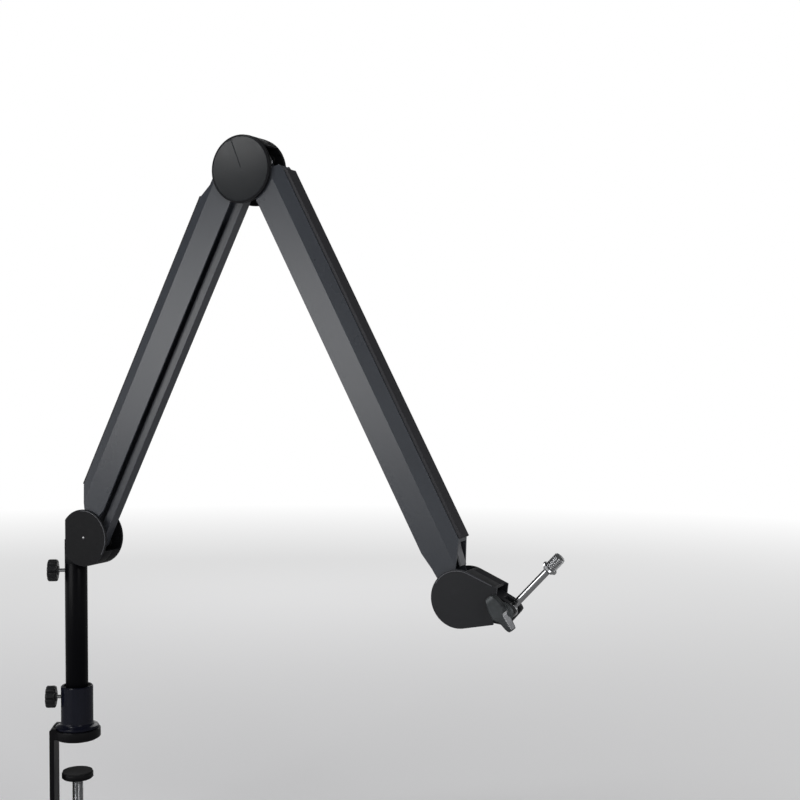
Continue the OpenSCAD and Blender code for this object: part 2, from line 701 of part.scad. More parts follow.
/* Elbow */
// One of the elbow's covers: a disc, half of the rim and the screw bosses
module elbow_cover(through) at(elbow_at) difference() {
    union() {
        bar_y(elbow_r, shell_in, elbow_out - 0.4);
        translate([0, elbow_out, 0]) rotate([90, 0, 0]) cylinder(r1 = elbow_r - 0.5, r2 = elbow_r, h = 0.4);
        plate_y(eps, shell_in + 0.2) arc_2d(elbow_r, elbow_r - cover_wall, rim_from, rim_to);
        for (p = elbow_screw_at) at(p) bar_y(boss_r, plate_out, shell_in + 0.2);
    }
    for (p = elbow_screw_at) at(p) bar_y(screw_r + pin_fit, 0, through ? 2 * elbow_out : shell_in + 0.6);
}

module elbow_near_cover() color("#222429") mirror([0, 1, 0]) elbow_cover(false);

module elbow_far_cover() color("#222429") elbow_cover(true);

module elbow_plates() color("#8d9096") both_sides() difference() {
    plate_y(plate_in, plate_out) {
        slot_2d(lower_far, upper_pin, eye_r - 0.6);
        slot_2d(lower_far, link_elbow, 4.2);
        slot_2d(upper_pin, second_elbow, 4.2);
        slot_2d(link_elbow, second_elbow, 4.2);
        slot_2d(upper_pin, upper_spring_at, 4);
        for (p = elbow_screw_at) slot_2d(elbow_at + p, elbow_at + [p[0] / 2, 4], 3.6);
        translate(elbow_at) circle(7);
    }
    for (p = [lower_far, upper_pin]) at(p) bar_y(pivot_r + pin_fit, 0, 2 * shell_out);
    for (p = [link_elbow, second_elbow]) at(p) bar_y(link_pin_r + pin_fit, 0, 2 * shell_out);
    at(upper_spring_at) bar_y(spring_pin_r + pin_fit, 0, 2 * shell_out);
    for (p = elbow_screw_at) at(elbow_at + p) bar_y(screw_r + pin_fit, 0, 2 * shell_out);
}

module elbow_studs() color("silver") both_sides()
    for (p = [lower_far, upper_pin]) at(p) bar_y(pivot_r, plate_in, shell_in);

module elbow_link_pins() color("silver") for (p = [link_elbow, second_elbow])
    at(p) bar_y(link_pin_r, -plate_out, plate_out);

module elbow_spacers() color("#c9c9c4") {
    at(link_elbow) side_spacers(link_half);
    at(second_elbow) side_spacers(tongue_t / 2);
}

module elbow_spring_pin() color("silver") at(upper_spring_at) bar_y(spring_pin_r, -plate_out, plate_out);

module elbow_screws() color("silver") for (p = elbow_screw_at) at(elbow_at + p) {
    bar_y(screw_r, -shell_in - 0.4, elbow_out);
    bar_y(screw_head_wide, elbow_out, elbow_out + screw_head_t);
}

/* Head */
// Outline of the head's shells from its centre
module head_2d() hull() {
    circle(head_r);
    polygon([[0, 0], mouth_top, mouth_low]);
}

// One of the head's shells: a side, half of the roof and a screw boss
module head_shell(through) at(head_at) difference() {
    union() {
        plate_y(shell_in, shell_out) head_2d();
        plate_y(eps, shell_in + 0.2) intersection() {
            difference() {
                head_2d();
                offset(delta = -shell_t) head_2d();
            }
            polygon([[6, 8], [mouth_top[0] - 2, 8], [mouth_top[0] - 2, 30], [6, 30]]);
        }
        at(head_screw_at) bar_y(boss_r, plate_out, shell_in + 0.2);
    }
    at(head_screw_at) bar_y(screw_r + pin_fit, 0, through ? 2 * shell_out : shell_in + 0.8);
}

module head_near_shell() color("#26272b") mirror([0, 1, 0]) head_shell(false);

module head_far_shell() color("#26272b") head_shell(true);

module head_plates() color("#8d9096") both_sides() difference() {
    plate_y(plate_in, plate_out) {
        slot_2d(upper_far, second_head, 4.4);
        slot_2d(upper_far, head_at + [8, -4], eye_r - 0.6);
        translate(head_at) polygon([[0, 4], [plate_end, 5], [plate_end, -13], [2, -19]]);
    }
    at(upper_far) bar_y(pivot_r + pin_fit, 0, 2 * shell_out);
    at(second_head) bar_y(link_pin_r + pin_fit, 0, 2 * shell_out);
    at(head_at + head_screw_at) bar_y(screw_r + pin_fit, 0, 2 * shell_out);
    for (z = [-9, -3.5]) at(head_at + [plate_end - 3.5, z]) bar_y(screw_r + pin_fit, 0, 2 * shell_out);
}

module head_studs() color("silver") both_sides() at(upper_far) bar_y(pivot_r, plate_in, shell_in);

module head_link_pin() color("silver") at(second_head) bar_y(link_pin_r, -plate_out, plate_out);

module head_spacers() color("#c9c9c4") at(second_head) side_spacers(link_half);

module head_screws() color("silver") at(head_at + head_screw_at) {
    bar_y(screw_r, -shell_in - 0.6, shell_out);
    bar_y(screw_head_wide, shell_out, shell_out + screw_head_t);
}

/* Swivel */
// Outline of the fork's block seen from the side
module fork_2d() polygon(concat(fork_front, [[-fork_back, fork_front[3][1] + 1],
    [-fork_back, fork_front[0][1] + (fork_back + fork_front[0][0]) * tan(fork_slope)]]));

module swivel_fork() color("#1d1e22") difference() {
    union() {
        at(swivel_at) plate_y(-fork_half, fork_half) fork_2d();
        at(head_at) plate_y(-plate_in, plate_in) polygon([[plate_end - 7, 3], [plate_end - 7, -12],
            [swivel_from_head[0] - fork_back + 2, -12], [swivel_from_head[0] - fork_back + 2, 3]]);
    }
    at(swivel_at) bar_y(rod_eye_r + 1, -slot_half, slot_half);
    at(swivel_at) translate([-rod_r - 0.9, -slot_half, -4 * rod_eye_r])
        cube([8 * rod_eye_r, 2 * slot_half, 8 * rod_eye_r]);
    at(swivel_at) bar_y(bolt_r + pin_fit, -2 * fork_half, 2 * fork_half);
    for (z = [-9, -3.5]) at(head_at + [plate_end - 3.5, z]) bar_y(screw_r + pin_fit, -20, 20);
}

module fork_screws() color("silver") both_sides() for (z = [-9, -3.5])
    at(head_at + [plate_end - 3.5, z]) {
        bar_y(screw_r, 1, plate_out);
        bar_y(screw_head_wide - 0.6, plate_out, plate_out + screw_head_t);
    }

module swivel_washers() color("#b9bcc2") at(swivel_at) {
    translate([0, -fork_half - washer_t, 0]) difference() {
        bar_y(bolt_r + 2.8, 0, washer_t);
        bar_y(bolt_r + pin_fit, -1, washer_t + 1);
    }
    translate([0, fork_half, 0]) difference() {
        bar_y(bolt_r + 2.8, 0, washer_t);
        bar_y(bolt_r + pin_fit, -1, washer_t + 1);
    }
}

module clamp_bolt() color("silver") at(swivel_at) {
    bar_y(bolt_r, -fork_half - washer_t - wing_depth + 2.5, fork_half + washer_t);
    translate([0, fork_half + washer_t + 4, 0]) rotate([90, 0, 0]) cylinder(r = 5.6, h = 4, $fn = 6);
}

module swivel_rod() color("silver") arm_frame(swivel_at, rod_angle) difference() {
    union() {
        bar_y(rod_eye_r, eye_side_gap - slot_half, slot_half - eye_side_gap);
        rotate([0, 90, 0]) cylinder(r = rod_r, h = fitting_at + 5);
    }
    bar_y(bolt_r + run_gap, -fork_half, fork_half);
}

module thread_fitting() color("silver") arm_frame(swivel_at, rod_angle) difference() {
    translate([fitting_at, 0, 0]) rotate([0, 90, 0]) {
        cylinder(r = relief_r, h = thread_len - 1);
        translate([0, 0, ring_at + ring_t]) cylinder(r = thread_r, h = thread_len - ring_at - ring_t - 0.8);
        translate([0, 0, thread_len - 0.8]) cylinder(r1 = thread_r, r2 = thread_r - 0.8, h = 0.8);
    }
    rotate([0, 90, 0]) cylinder(r = rod_r + pin_fit, h = fitting_at + 5.1);
}

module lock_ring() color("silver") arm_frame(swivel_at, rod_angle)
    translate([fitting_at + ring_at, 0, 0]) rotate([0, 90, 0]) difference() {
        cylinder(r = ring_r, h = ring_t);
        translate([0, 0, -1]) cylinder(r = relief_r + run_gap, h = ring_t + 2);
        for (i = [0:15]) rotate(22.5 * i) translate([ring_r + 0.35, 0, -1])
            cylinder(r = 0.7, h = ring_t + 2, $fn = 16);
    }

// A wing seen from the front, from the hub outward
module wing_2d() {
    circle(wing_hub_r);
    polygon([[1, -wing_hub_r], [wing_half - 2, -wing_tip], [wing_half, 1.4 - wing_tip],
        [wing_half, wing_tip - 1.4], [wing_half - 2, wing_tip], [1, wing_hub_r]]);
}

module wing_knob() color("#44474d") arm_frame(swivel_at, wing_angle) {
    front = -fork_half - washer_t - wing_depth;
    difference() {
        union() {
            bar_y(wing_hub_r, front, -fork_half - washer_t - 0.1);
            plate_y(front + 0.6, front + wing_depth - 2.6) union() {
                wing_2d();
                mirror([1, 0]) wing_2d();
            }
        }
        bar_y(bolt_r + run_gap, front + 2.4, 0);
    }
}

clamp_frame();
jaw_pad();
mast_socket();
socket_screws();
collar_liner();
lower_knob();
lower_stud();
foot_plate();
foot_pad();
clamp_screw();
turning_bar();
bar_caps();
mast_tube();
mast_plug();
upper_knob();
upper_stud();
yoke_spigot();
spigot_pin();
yoke_bracket();
yoke_near_shell();
yoke_far_shell();
yoke_pivot();
yoke_link_pin();
yoke_spacers();
yoke_spring_pin();
lower_cover();
lower_cable_strip();
lower_spring_post();
lower_springs();
lower_link();
elbow_near_cover();
elbow_far_cover();
elbow_plates();
elbow_studs();
elbow_link_pins();
elbow_spacers();
elbow_spring_pin();
elbow_screws();
upper_cover();
upper_cable_strip();
upper_spring_post();
upper_springs();
cable_guide();
upper_link();
head_near_shell();
head_far_shell();
head_plates();
head_studs();
head_link_pin();
head_spacers();
head_screws();
swivel_fork();
fork_screws();
clamp_bolt();
swivel_washers();
swivel_rod();
thread_fitting();
lock_ring();
wing_knob();
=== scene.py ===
# Finishes, fine shapes and studio for the microphone boom arm.
#
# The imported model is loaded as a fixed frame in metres. Each operator dresses one group of its
# pieces: it gives them their finish, softens their edges, or makes the turned, coiled and threaded
# pieces again at full detail, where the frame has them.

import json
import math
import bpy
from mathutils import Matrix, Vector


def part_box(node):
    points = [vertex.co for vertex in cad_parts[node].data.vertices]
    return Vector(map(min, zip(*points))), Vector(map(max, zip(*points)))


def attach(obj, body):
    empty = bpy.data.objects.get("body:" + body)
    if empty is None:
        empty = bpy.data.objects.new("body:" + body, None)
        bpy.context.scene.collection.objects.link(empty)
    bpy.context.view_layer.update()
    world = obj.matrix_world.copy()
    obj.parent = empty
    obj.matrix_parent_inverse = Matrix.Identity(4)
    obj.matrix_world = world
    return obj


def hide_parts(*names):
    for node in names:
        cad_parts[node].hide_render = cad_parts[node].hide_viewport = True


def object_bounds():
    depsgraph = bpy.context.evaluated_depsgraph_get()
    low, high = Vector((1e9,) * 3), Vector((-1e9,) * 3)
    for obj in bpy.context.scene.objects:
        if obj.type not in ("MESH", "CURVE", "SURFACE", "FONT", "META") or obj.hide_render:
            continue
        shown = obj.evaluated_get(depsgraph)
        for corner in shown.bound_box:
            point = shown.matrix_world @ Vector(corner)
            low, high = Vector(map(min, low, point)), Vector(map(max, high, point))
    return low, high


bl_info = {
    "name": "Microphone boom arm",
    "version": (1, 0, 0),
    "blender": (4, 5, 0),
    "location": "View3D > Sidebar > Boom arm",
    "description": "Finishes, threads, springs and studio for a desk-clamped microphone boom arm",
    "category": "Object",
}

import bmesh
import bpy
from bpy.props import FloatProperty, FloatVectorProperty, IntProperty, PointerProperty
from bpy.types import Operator, Panel, PropertyGroup
from mathutils import Matrix, Vector

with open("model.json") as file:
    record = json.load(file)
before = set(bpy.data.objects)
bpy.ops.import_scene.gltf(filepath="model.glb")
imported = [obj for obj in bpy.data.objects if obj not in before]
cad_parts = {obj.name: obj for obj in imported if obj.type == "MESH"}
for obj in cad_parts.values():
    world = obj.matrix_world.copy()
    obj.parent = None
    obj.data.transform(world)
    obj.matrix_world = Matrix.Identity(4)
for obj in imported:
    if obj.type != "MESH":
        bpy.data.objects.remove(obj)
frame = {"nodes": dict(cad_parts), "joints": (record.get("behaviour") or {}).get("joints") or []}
cad_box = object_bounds()

MM = 0.001
JOINTS = {joint["name"]: joint for joint in frame["joints"]}
NODES = frame["nodes"]
UP = Vector((0, 0, 1))
SIDES = ((-1, "near"), (1, "far"))
THREAD_RADIUS = 4.7625 * MM


# Places and directions taken from the frame

def pivot(name):
    """The place of a joint, in metres."""
    return Vector(JOINTS[name]["pos_m"])


def direction(name):
    """The axis of a joint, as a unit vector."""
    return Vector(JOINTS[name]["axis"]).normalized()


def stood_on(origin, axis, across=Vector((0, 1, 0))):
    """A matrix whose Z runs along axis from origin, and whose Y leans towards across."""
    z = Vector(axis).normalized()
    x = across.cross(z).normalized()
    facing = Matrix((x, z.cross(x), z)).transposed().to_4x4()
    return Matrix.Translation(origin) @ facing


def points_in(matrix, node):
    """A CAD node's vertices, measured along a matrix's own axes."""
    back = matrix.inverted()
    return [back @ v.co for v in NODES[node].data.vertices]


def span(node, matrix):
    """Lowest and highest corner of a CAD node, measured along a matrix's own axes."""
    points = points_in(matrix, node)
    low = Vector([min(p[i] for p in points) for i in range(3)])
    high = Vector([max(p[i] for p in points) for i in range(3)])
    return low, high


def outer_face(node, side):
    """Where a CAD node ends along Y, on the near side for -1 and on the far side for 1."""
    low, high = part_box(node)
    return low[1] if side < 0 else high[1]


def evenly(start, stop, count):
    """Values from start to stop, both included, with count equal gaps."""
    return [start + (stop - start) * i / count for i in range(count + 1)]


def polar(radius, angle, height=0.0):
    return Vector((radius * math.cos(angle), radius * math.sin(angle), height))


def level_way(degrees):
    """A unit vector in the plane of the arms, turned up from +X."""
    return Vector((math.cos(math.radians(degrees)), 0, math.sin(math.radians(degrees))))


# Shader maths

class Value:
    """A shader socket that takes part in Python arithmetic by adding Math nodes."""

    def __init__(self, paint, socket):
        self.paint = paint
        self.socket = socket

    def combined(self, operation, *values):
        """A Math node over values, each a number or another socket."""
        return self.paint.node("ShaderNodeMath", {"operation": operation}, *values)

    def __add__(self, other):
        return self.combined("ADD", self, other)

    def __radd__(self, other):
        return self.combined("ADD", other, self)

    def __sub__(self, other):
        return self.combined("SUBTRACT", self, other)

    def __rsub__(self, other):
        return self.combined("SUBTRACT", other, self)

    def __mul__(self, other):
        return self.combined("MULTIPLY", self, other)

    def __rmul__(self, other):
        return self.combined("MULTIPLY", other, self)


class Paint:
    """The node tree of one material, or of a world, built by expressions."""

    def __init__(self, name, world=None):
        self.owner = world or bpy.data.materials.new(name)
        self.owner.use_nodes = True
        self.tree = self.owner.node_tree
        self.tree.nodes.clear()

    def node(self, kind, settings, *values, out=0, **named):
        """Adds a node with its settings, then fills its sockets by position or by name."""
        made = self.tree.nodes.new(kind)
        for key, value in settings.items():
            setattr(made, key, value)
        for place, value in list(enumerate(values)) + list(named.items()):
            socket = made.inputs[place if isinstance(place, int) else place.replace("_", " ")]
            if isinstance(value, Value):
                self.tree.links.new(value.socket, socket)
            else:
                socket.default_value = value
        return Value(self, made.outputs[out])

    def place(self, stretch=(1, 1, 1), turn=(0, 0, 0)):
        """Object coordinates in metres, stretched and turned."""
        spot = self.node("ShaderNodeTexCoord", {}, out="Object")
        return self.node("ShaderNodeMapping", {}, spot, Rotation=turn, Scale=stretch)

    def noise(self, scale, detail=3, roughness=0.5, where=None):
        spot = where if where is not None else self.place()
        return self.node("ShaderNodeTexNoise", {}, Vector=spot, Scale=scale, Detail=detail,
                         Roughness=roughness)

    def speckle(self, scale, low, high):
        """A mask of scattered spots, 0 to 1, from noise between two levels."""
        return self.ranged(self.noise(scale, 4, 0.6), low, high)

    def blended(self, share, first, second):
        return self.node("ShaderNodeMix", {"data_type": "RGBA"}, Factor=share, A=first, B=second,
                         out="Result")

    def ranged(self, value, low, high, start=0.0, end=1.0):
        """A value taken from one range to another, and held at its ends."""
        return self.node("ShaderNodeMapRange", {}, value, low, high, start, end)

    def ray(self, kind):
        """A mask of what is seen by one kind of ray."""
        return self.node("ShaderNodeLightPath", {}, out=f"Is {kind} Ray")

    def edge_highlight(self, radius):
        """A mask that is bright along sharp edges, from the spread of bevelled normals; the finishes use it
        to paint highlights along edges.
        """
        soft = self.node("ShaderNodeBevel", {"samples": 6}, Radius=radius)
        true = self.node("ShaderNodeNewGeometry", {}, out="Normal")
        match = self.node("ShaderNodeVectorMath", {"operation": "DOT_PRODUCT"}, soft, true, out="Value")
        flat, sharp = 0.985, 0.86
        return self.ranged(match, flat, sharp)

    def bump(self, height, strength, distance):
        return self.node("ShaderNodeBump", {}, Height=height, Strength=strength, Distance=distance)

    def finish(self, **sockets):
        """The Principled shader and the material's output."""
        return self.node_output(self.node("ShaderNodeBsdfPrincipled", {}, out="BSDF", **sockets))

    def node_output(self, shader, kind="ShaderNodeOutputMaterial"):
        output = self.tree.nodes.new(kind)
        self.tree.links.new(shader.socket, output.inputs["Surface"])
        return self.owner


def rgba(colour, share=1.0):
    """A colour property as a shader colour, darkened or lightened by a share."""
    return tuple(min(1.0, channel * share) for channel in colour) + (1.0,)


# Finishes

def powder_coat(name, colour, roughness, grain=1.0, shine=0.35):
    """Baked enamel on sheet metal: orange peel, faint dust, a cool sheen, and sharp edges lightened as a
    painted highlight.
    """
    paint = Paint(name)
    peel = paint.noise(900, 2)
    fine = paint.noise(5200, 2)
    cloud = paint.noise(16, 4, 0.6)
    dust = paint.speckle(2600, 0.70, 0.80)
    edge = paint.edge_highlight(0.6 * MM)
    tone = paint.blended(cloud, rgba(colour, 0.86), rgba(colour, 1.16))
    tone = paint.blended(dust * 0.10, tone, rgba(colour, 2.6))
    # painted highlight: sharp edges lightened along the edge mask
    tone = paint.blended(edge * 0.45, tone, rgba(colour, 3.2))
    height = peel * 0.7 + fine * 0.3
    return paint.finish(
        Base_Color=tone,
        Roughness=roughness - 0.03 + cloud * 0.06 - edge * 0.05,
        Normal=paint.bump(height, 0.16 * grain, 0.05 * MM),
        Specular_IOR_Level=shine,
    )


def moulded(name, colour, roughness, grain_size=2600, depth=0.05 * MM, shine=0.14, edge_highlight_share=0.5):
    """Moulded plastic with a spark-eroded grain, a few lighter worn patches, and sharp edges lightened as a
    painted highlight.
    """
    paint = Paint(name)
    grain = paint.noise(grain_size, 3, 0.6)
    cloud = paint.noise(22)
    rub = paint.speckle(60, 0.56, 0.72)
    edge = paint.edge_highlight(0.7 * MM)
    tone = paint.blended(cloud, rgba(colour, 0.86), rgba(colour, 1.14))
    tone = paint.blended(rub * 0.15, tone, rgba(colour, 2.0))
    # painted highlight: sharp edges lightened by the given share
    tone = paint.blended(edge * edge_highlight_share, tone, rgba(colour, 9.0))
    return paint.finish(
        Base_Color=tone,
        Roughness=roughness + cloud * 0.08 - rub * 0.06 - edge * 0.12,
        Normal=paint.bump(grain, 0.3, depth),
        Specular_IOR_Level=shine,
    )


def plated(name, colour, roughness):
    """Bright plate over turned steel, with fine hairlines and a few dull spots."""
    paint = Paint(name)
    lines = paint.noise(700, 3, 0.5, paint.place(stretch=(1, 1, 14), turn=(0.3, 0.5, 0.2)))
    dull = paint.speckle(240, 0.55, 0.75)
    tone = paint.blended(dull * 0.35, rgba(colour), rgba(colour, 0.72))
    return paint.finish(
        Base_Color=tone,
        Metallic=1.0,
        Roughness=roughness + lines * 0.05 + dull * 0.05,
        Normal=paint.bump(lines, 0.01, 0.01 * MM),
    )


def blackened_sheet(name, colour, roughness):
    """Pressed steel sheet, blackened, with rolling marks, a faint oily bloom and sharp edges lightened as a
    painted highlight.
    """
    paint = Paint(name)
    rolled = paint.noise(420, 4, 0.6, paint.place(stretch=(1, 6, 1), turn=(0, 1.05, 0)))
    bloom = paint.noise(130, 3, 0.6)
    edge = paint.edge_highlight(0.3 * MM)
    tone = paint.blended(bloom, rgba(colour, 0.8), rgba(colour, 1.3))
    # painted highlight: sharp edges lightened
    tone = paint.blended(edge * 0.5, tone, rgba(colour, 5.0))
    return paint.finish(
        Base_Color=tone,
        Metallic=0.35,
        Roughness=roughness + rolled * 0.14,
        Normal=paint.bump(rolled, 0.18, 0.03 * MM),
        Specular_IOR_Level=0.2,
    )


def cast_metal(name, colour, roughness):
    """Painted casting: soft hollows, a satin skin, worn high spots, and sharp edges lightened as a painted
    highlight.
    """
    paint = Paint(name)
    lumps = paint.noise(420)
    pits = paint.noise(2400, 2)
    rub = paint.speckle(90, 0.48, 0.66)
    edge = paint.edge_highlight(0.7 * MM)
    tone = paint.blended(rub * 0.5, rgba(colour, 0.9), rgba(colour, 1.5))
    # painted highlight: sharp edges lightened
    tone = paint.blended(edge * 0.6, tone, rgba(colour, 4.0))
    return paint.finish(
        Base_Color=tone,
        Metallic=0.5,
        Roughness=roughness - rub * 0.08,
        Normal=paint.bump(lumps * 0.7 + pits * 0.3, 0.3, 0.07 * MM),
        Specular_IOR_Level=0.4,
    )


def rubber(name, colour):
    """Soft black rubber with a dry skin."""
    paint = Paint(name)
    grain = paint.noise(1800, 4, 0.6)
    chalk = paint.speckle(50, 0.45, 0.75)
    tone = paint.blended(chalk * 0.3, rgba(colour), rgba(colour, 2.0))
    return paint.finish(
        Base_Color=tone,
        Roughness=0.82 + grain * 0.12,
        Normal=paint.bump(grain, 0.4, 0.06 * MM),
        Specular_IOR_Level=0.3,
    )


# Mesh building

def soften(obj, width, segments, sharp_angle):
    """Joins a mesh's split corners and rounds its sharp edges by modifiers alone."""
    weld = obj.modifiers.new("Weld", "WELD")
    weld.merge_threshold = 0.004 * MM
    bevel = obj.modifiers.new("Round", "BEVEL")
    bevel.width = width
    bevel.segments = segments
    bevel.limit_method = "ANGLE"
    bevel.angle_limit = math.radians(sharp_angle)
    bevel.use_clamp_overlap = True
    bevel.harden_normals = True


def dress(nodes, material, width=0.0, segments=2, sharp_angle=35.0):
    """Gives CAD nodes their finish, and rounds their edges where a width is given."""
    for node in nodes.split():
        obj = NODES[node]
        obj.data.materials.clear()
        obj.data.materials.append(material)
        if width > 0:
            soften(obj, width, segments, sharp_angle)


def linked(data):
    """A new object in the scene for a mesh, lamp or camera, under its name."""
    obj = bpy.data.objects.new(data.name, data)
    bpy.context.scene.collection.objects.link(obj)
    return obj


def add_piece(mesh, body, material, replaced=()):
    """Makes a new piece with its finish, which rides on a body."""
    obj = linked(mesh)
    mesh.materials.append(material)
    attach(obj, body)
    if replaced:
        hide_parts(*replaced)
    return obj


def skin(bm, rows):
    """Skins rings of points in turn, and fans over both ends unless they meet or are a point."""
    rings = [[bm.verts.new(point) for point in row] for row in rows]
    for first, second in zip(rings, rings[1:]):
        for i in range(len(first)):
            j = (i + 1) % len(first)
            bm.faces.new((first[i], first[j], second[j], second[i]))
    for ring in (rings[0], rings[-1]):
        if rows[0] != rows[-1] and ring[0].co != ring[1].co:
            middle = bm.verts.new(sum((v.co for v in ring), Vector()) / len(ring))
            for i, vert in enumerate(ring):
                bm.faces.new((vert, ring[(i + 1) % len(ring)], middle))


def closed_mesh(bm, name, smooth_angle):
    """Turns the faces outward and shades them smooth up to an angle."""
    bmesh.ops.remove_doubles(bm, verts=bm.verts, dist=1e-7)
    bmesh.ops.recalc_face_normals(bm, faces=bm.faces)
    mesh = bpy.data.meshes.new(name)
    for face in bm.faces:
        face.smooth = True
    limit = math.radians(smooth_angle)
    for edge in bm.edges:
        edge.smooth = len(edge.link_faces) != 2 or edge.calc_face_angle() <= limit
    bm.to_mesh(mesh)
    bm.free()
    return mesh


def skinned(name, rows, smooth_angle):
    """A mesh of its own over rings of points."""
    bm = bmesh.new()
    skin(bm, rows)
    return closed_mesh(bm, name, smooth_angle)


def turned_rows(matrix, profile, steps, shape=None):
    """Rings about a matrix's Z for a list of (radius, height), whose radius shape may change by angle."""
    rows = []
    for radius, height in profile:
        row = []
        for i in range(steps):
            angle = 2 * math.pi * i / steps
            row.append(matrix @ polar(shape(radius, angle) if shape else radius, angle, height))
        rows.append(row)
    return rows


def turned(name, matrix, profile, steps=96, shape=None, smooth_angle=35.0):
    """A lathe-turned solid; a profile that ends where it began makes a ring."""
    return skinned(name, turned_rows(matrix, profile, steps, shape), smooth_angle)


def arc(radius_at, height_at, radius, start, stop, count=5):
    """Points of a small arc in a turned profile, from one angle to another in degrees."""
    bends = [polar(radius, math.radians(angle)) for angle in evenly(start, stop, count)]
    return [(radius_at + bend.x, height_at + bend.y) for bend in bends]


def rounded_side(radius, low, high, corner):
    """The outer side of a turned profile with both its corners rounded."""
    inside = radius - corner
    return arc(inside, low + corner, corner, -90, 0) + arc(inside, high - corner, corner, 0, 90)


def swept(bm, path, radius):
    """A round tube along a path, with closed ends and a frame carried from point to point."""
    sides = 10
    turns = [2 * math.pi * k / sides for k in range(sides)]
    normal = (path[1] - path[0]).normalized().orthogonal().normalized()
    rows = []
    for i, point in enumerate(path):
        ahead = (path[min(i + 1, len(path) - 1)] - path[max(i - 1, 0)]).normalized()
        normal = (normal - ahead * normal.dot(ahead)).normalized()
        side = ahead.cross(normal)
        rows.append([point + radius * (normal * math.cos(t) + side * math.sin(t)) for t in turns])
    skin(bm, rows)


def threaded(name, matrix, low, high, major, depth, pitch, steps, per_turn):
    """A rod with a true helical thread between two heights, with chamfered ends."""
    chamfer, flank, crest_share = 0.8 * MM, 2.6, 0.25
    count = max(2, int((high - low) / pitch * per_turn))
    rows = []
    for height in evenly(low, high, count):
        limit = major - max(0.0, chamfer - min(height - low, high - height))
        row = []
        for i in range(steps):
            phase = (height / pitch - i / steps) % 1.0
            fall = min(1.0, max(0.0, abs(phase - 0.5) * flank - crest_share))
            row.append(matrix @ polar(min(limit, major - depth * fall), 2 * math.pi * i / steps, height))
        rows.append(row)
    return skinned(name, rows, 60.0)


# What a user can change

def tint(name, description, default):
    return FloatVectorProperty(name=name, description=description, subtype="COLOR",
                               default=default, min=0, max=1)


def length(name, description, default, low, high):
    """A length, given here in millimetres with its limits."""
    return FloatProperty(name=name, description=description, subtype="DISTANCE",
                         default=default * MM, min=low * MM, max=high * MM)


def bearing(name, description, default):
    """An angle, given here in degrees."""
    return FloatProperty(name=name, description=description, subtype="ANGLE",
                         default=math.radians(default))


def watts(name, description, default):
    return FloatProperty(name=name, description=description, subtype="POWER",
                         default=default, min=0, max=500)


class BoomFinishes(PropertyGroup):
    """Colours of the arm's finishes."""

    cover: tint("Covers", "Powder coat of the arm covers", (0.036, 0.040, 0.048))
    link: tint("Links", "Powder coat of the links", (0.040, 0.043, 0.050))
    shell: tint("Shells", "Moulded yoke and elbow", (0.0060, 0.0062, 0.0072))
    post: tint("Post", "Powder coat of the post", (0.0022, 0.0022, 0.0030))
    socket: tint("Socket", "Enamel of the socket and the collar", (0.0048, 0.0054, 0.0110))
    knob: tint("Knobs", "Moulded thumbscrew knobs", (0.010, 0.0102, 0.0115))
    wing: tint("Wing knob", "Cast wing knob", (0.052, 0.057, 0.060))
    strip: tint("Strips", "Cable strips, liner, plug and bar caps", (0.0030, 0.0030, 0.0035))
    bright: tint("Bright plate", "Rod, thread, studs and screws", (0.50, 0.505, 0.515))
    # painted highlight: colour of the lit facet on the wing knob
    wing_highlight: tint("Rubbed wing", "Painted highlight facet of the wing knob", (0.47, 0.48, 0.50))
    head: tint("Head shells", "Moulded shells of the head", (0.0135, 0.0142, 0.0165))
    # painted highlight: colour of the light beads along the shells' rims
    edge: tint("Rim highlight beads", "Fine bead on the rims of the moulded shells", (0.075, 0.077, 0.085))
    guide: tint("Cable guide", "Grey moulded cable guide", (0.165, 0.168, 0.178))
    dark_steel: tint("Dark steel", "Studs and pins inside the joints", (0.030, 0.030, 0.032))
    cap: tint("Elbow discs", "Dished discs of the elbow", (0.0080, 0.0096, 0.0116))
    bracket: tint("Brackets", "Blackened brackets inside the joints", (0.010, 0.010, 0.011))
    spring: tint("Springs", "Drawn spring wire", (0.40, 0.41, 0.43))
    nylon: tint("Nylon", "Spacers beside the links", (0.020, 0.020, 0.021))
    rubber: tint("Rubber", "Pads of the clamp", (0.012, 0.012, 0.013))


class BoomDetails(PropertyGroup):
    """Sizes of the fine shapes that the finish adds."""

    fold_radius: length("Fold radius", "Rounding of the covers' folds", 0.5, 0.1, 0.9)
    shell_radius: length("Shell radius", "Rounding of the moulded shells", 0.5, 0.1, 0.7)
    line_margin: length("Rim line margin", "Distance of a shell's fine bead from its rim", 1.1, 0.4, 3)
    line_radius: length("Rim line radius", "Radius of the fine bead", 0.32, 0.1, 1)
    cap_height: length("Disc height", "Height of the elbow's discs over its covers", 1.9, 0.8, 3)
    cap_dish: length("Disc dish", "Hollow in the middle of the elbow's discs", 1.7, 0, 1.8)
    cap_margin: length("Disc margin", "Black rim left round the elbow's discs", 2, 0.5, 4)
    groove_width: length("Groove width", "Width of the discs' radial groove", 0.5, 0.2, 1.2)
    groove_turn: bearing("Groove direction", "Direction of the discs' radial groove", 110.0)
    wing_turn: bearing("Wing direction", "Turn of the wings up from level", -48.0)
    scallop_depth: length("Scallop depth", "Depth of the knobs' scallops", 1.1, 0, 2)
    scallops: IntProperty(
        name="Scallops", description="Scallops round a knob", default=10, min=6, max=16)
    microphone_pitch: length("Microphone thread pitch", "16 turns to the inch", 25.4 / 16, 1, 2)
    clamp_pitch: length("Clamp screw pitch", "Pitch of the clamp screw", 1.5, 1, 2)
    coil_turns: IntProperty(
        name="Coil turns", description="Turns of each pull spring", default=60, min=20, max=70)
    knurls: IntProperty(
        name="Knurls", description="Knurls round the lock ring", default=40, min=20, max=60)


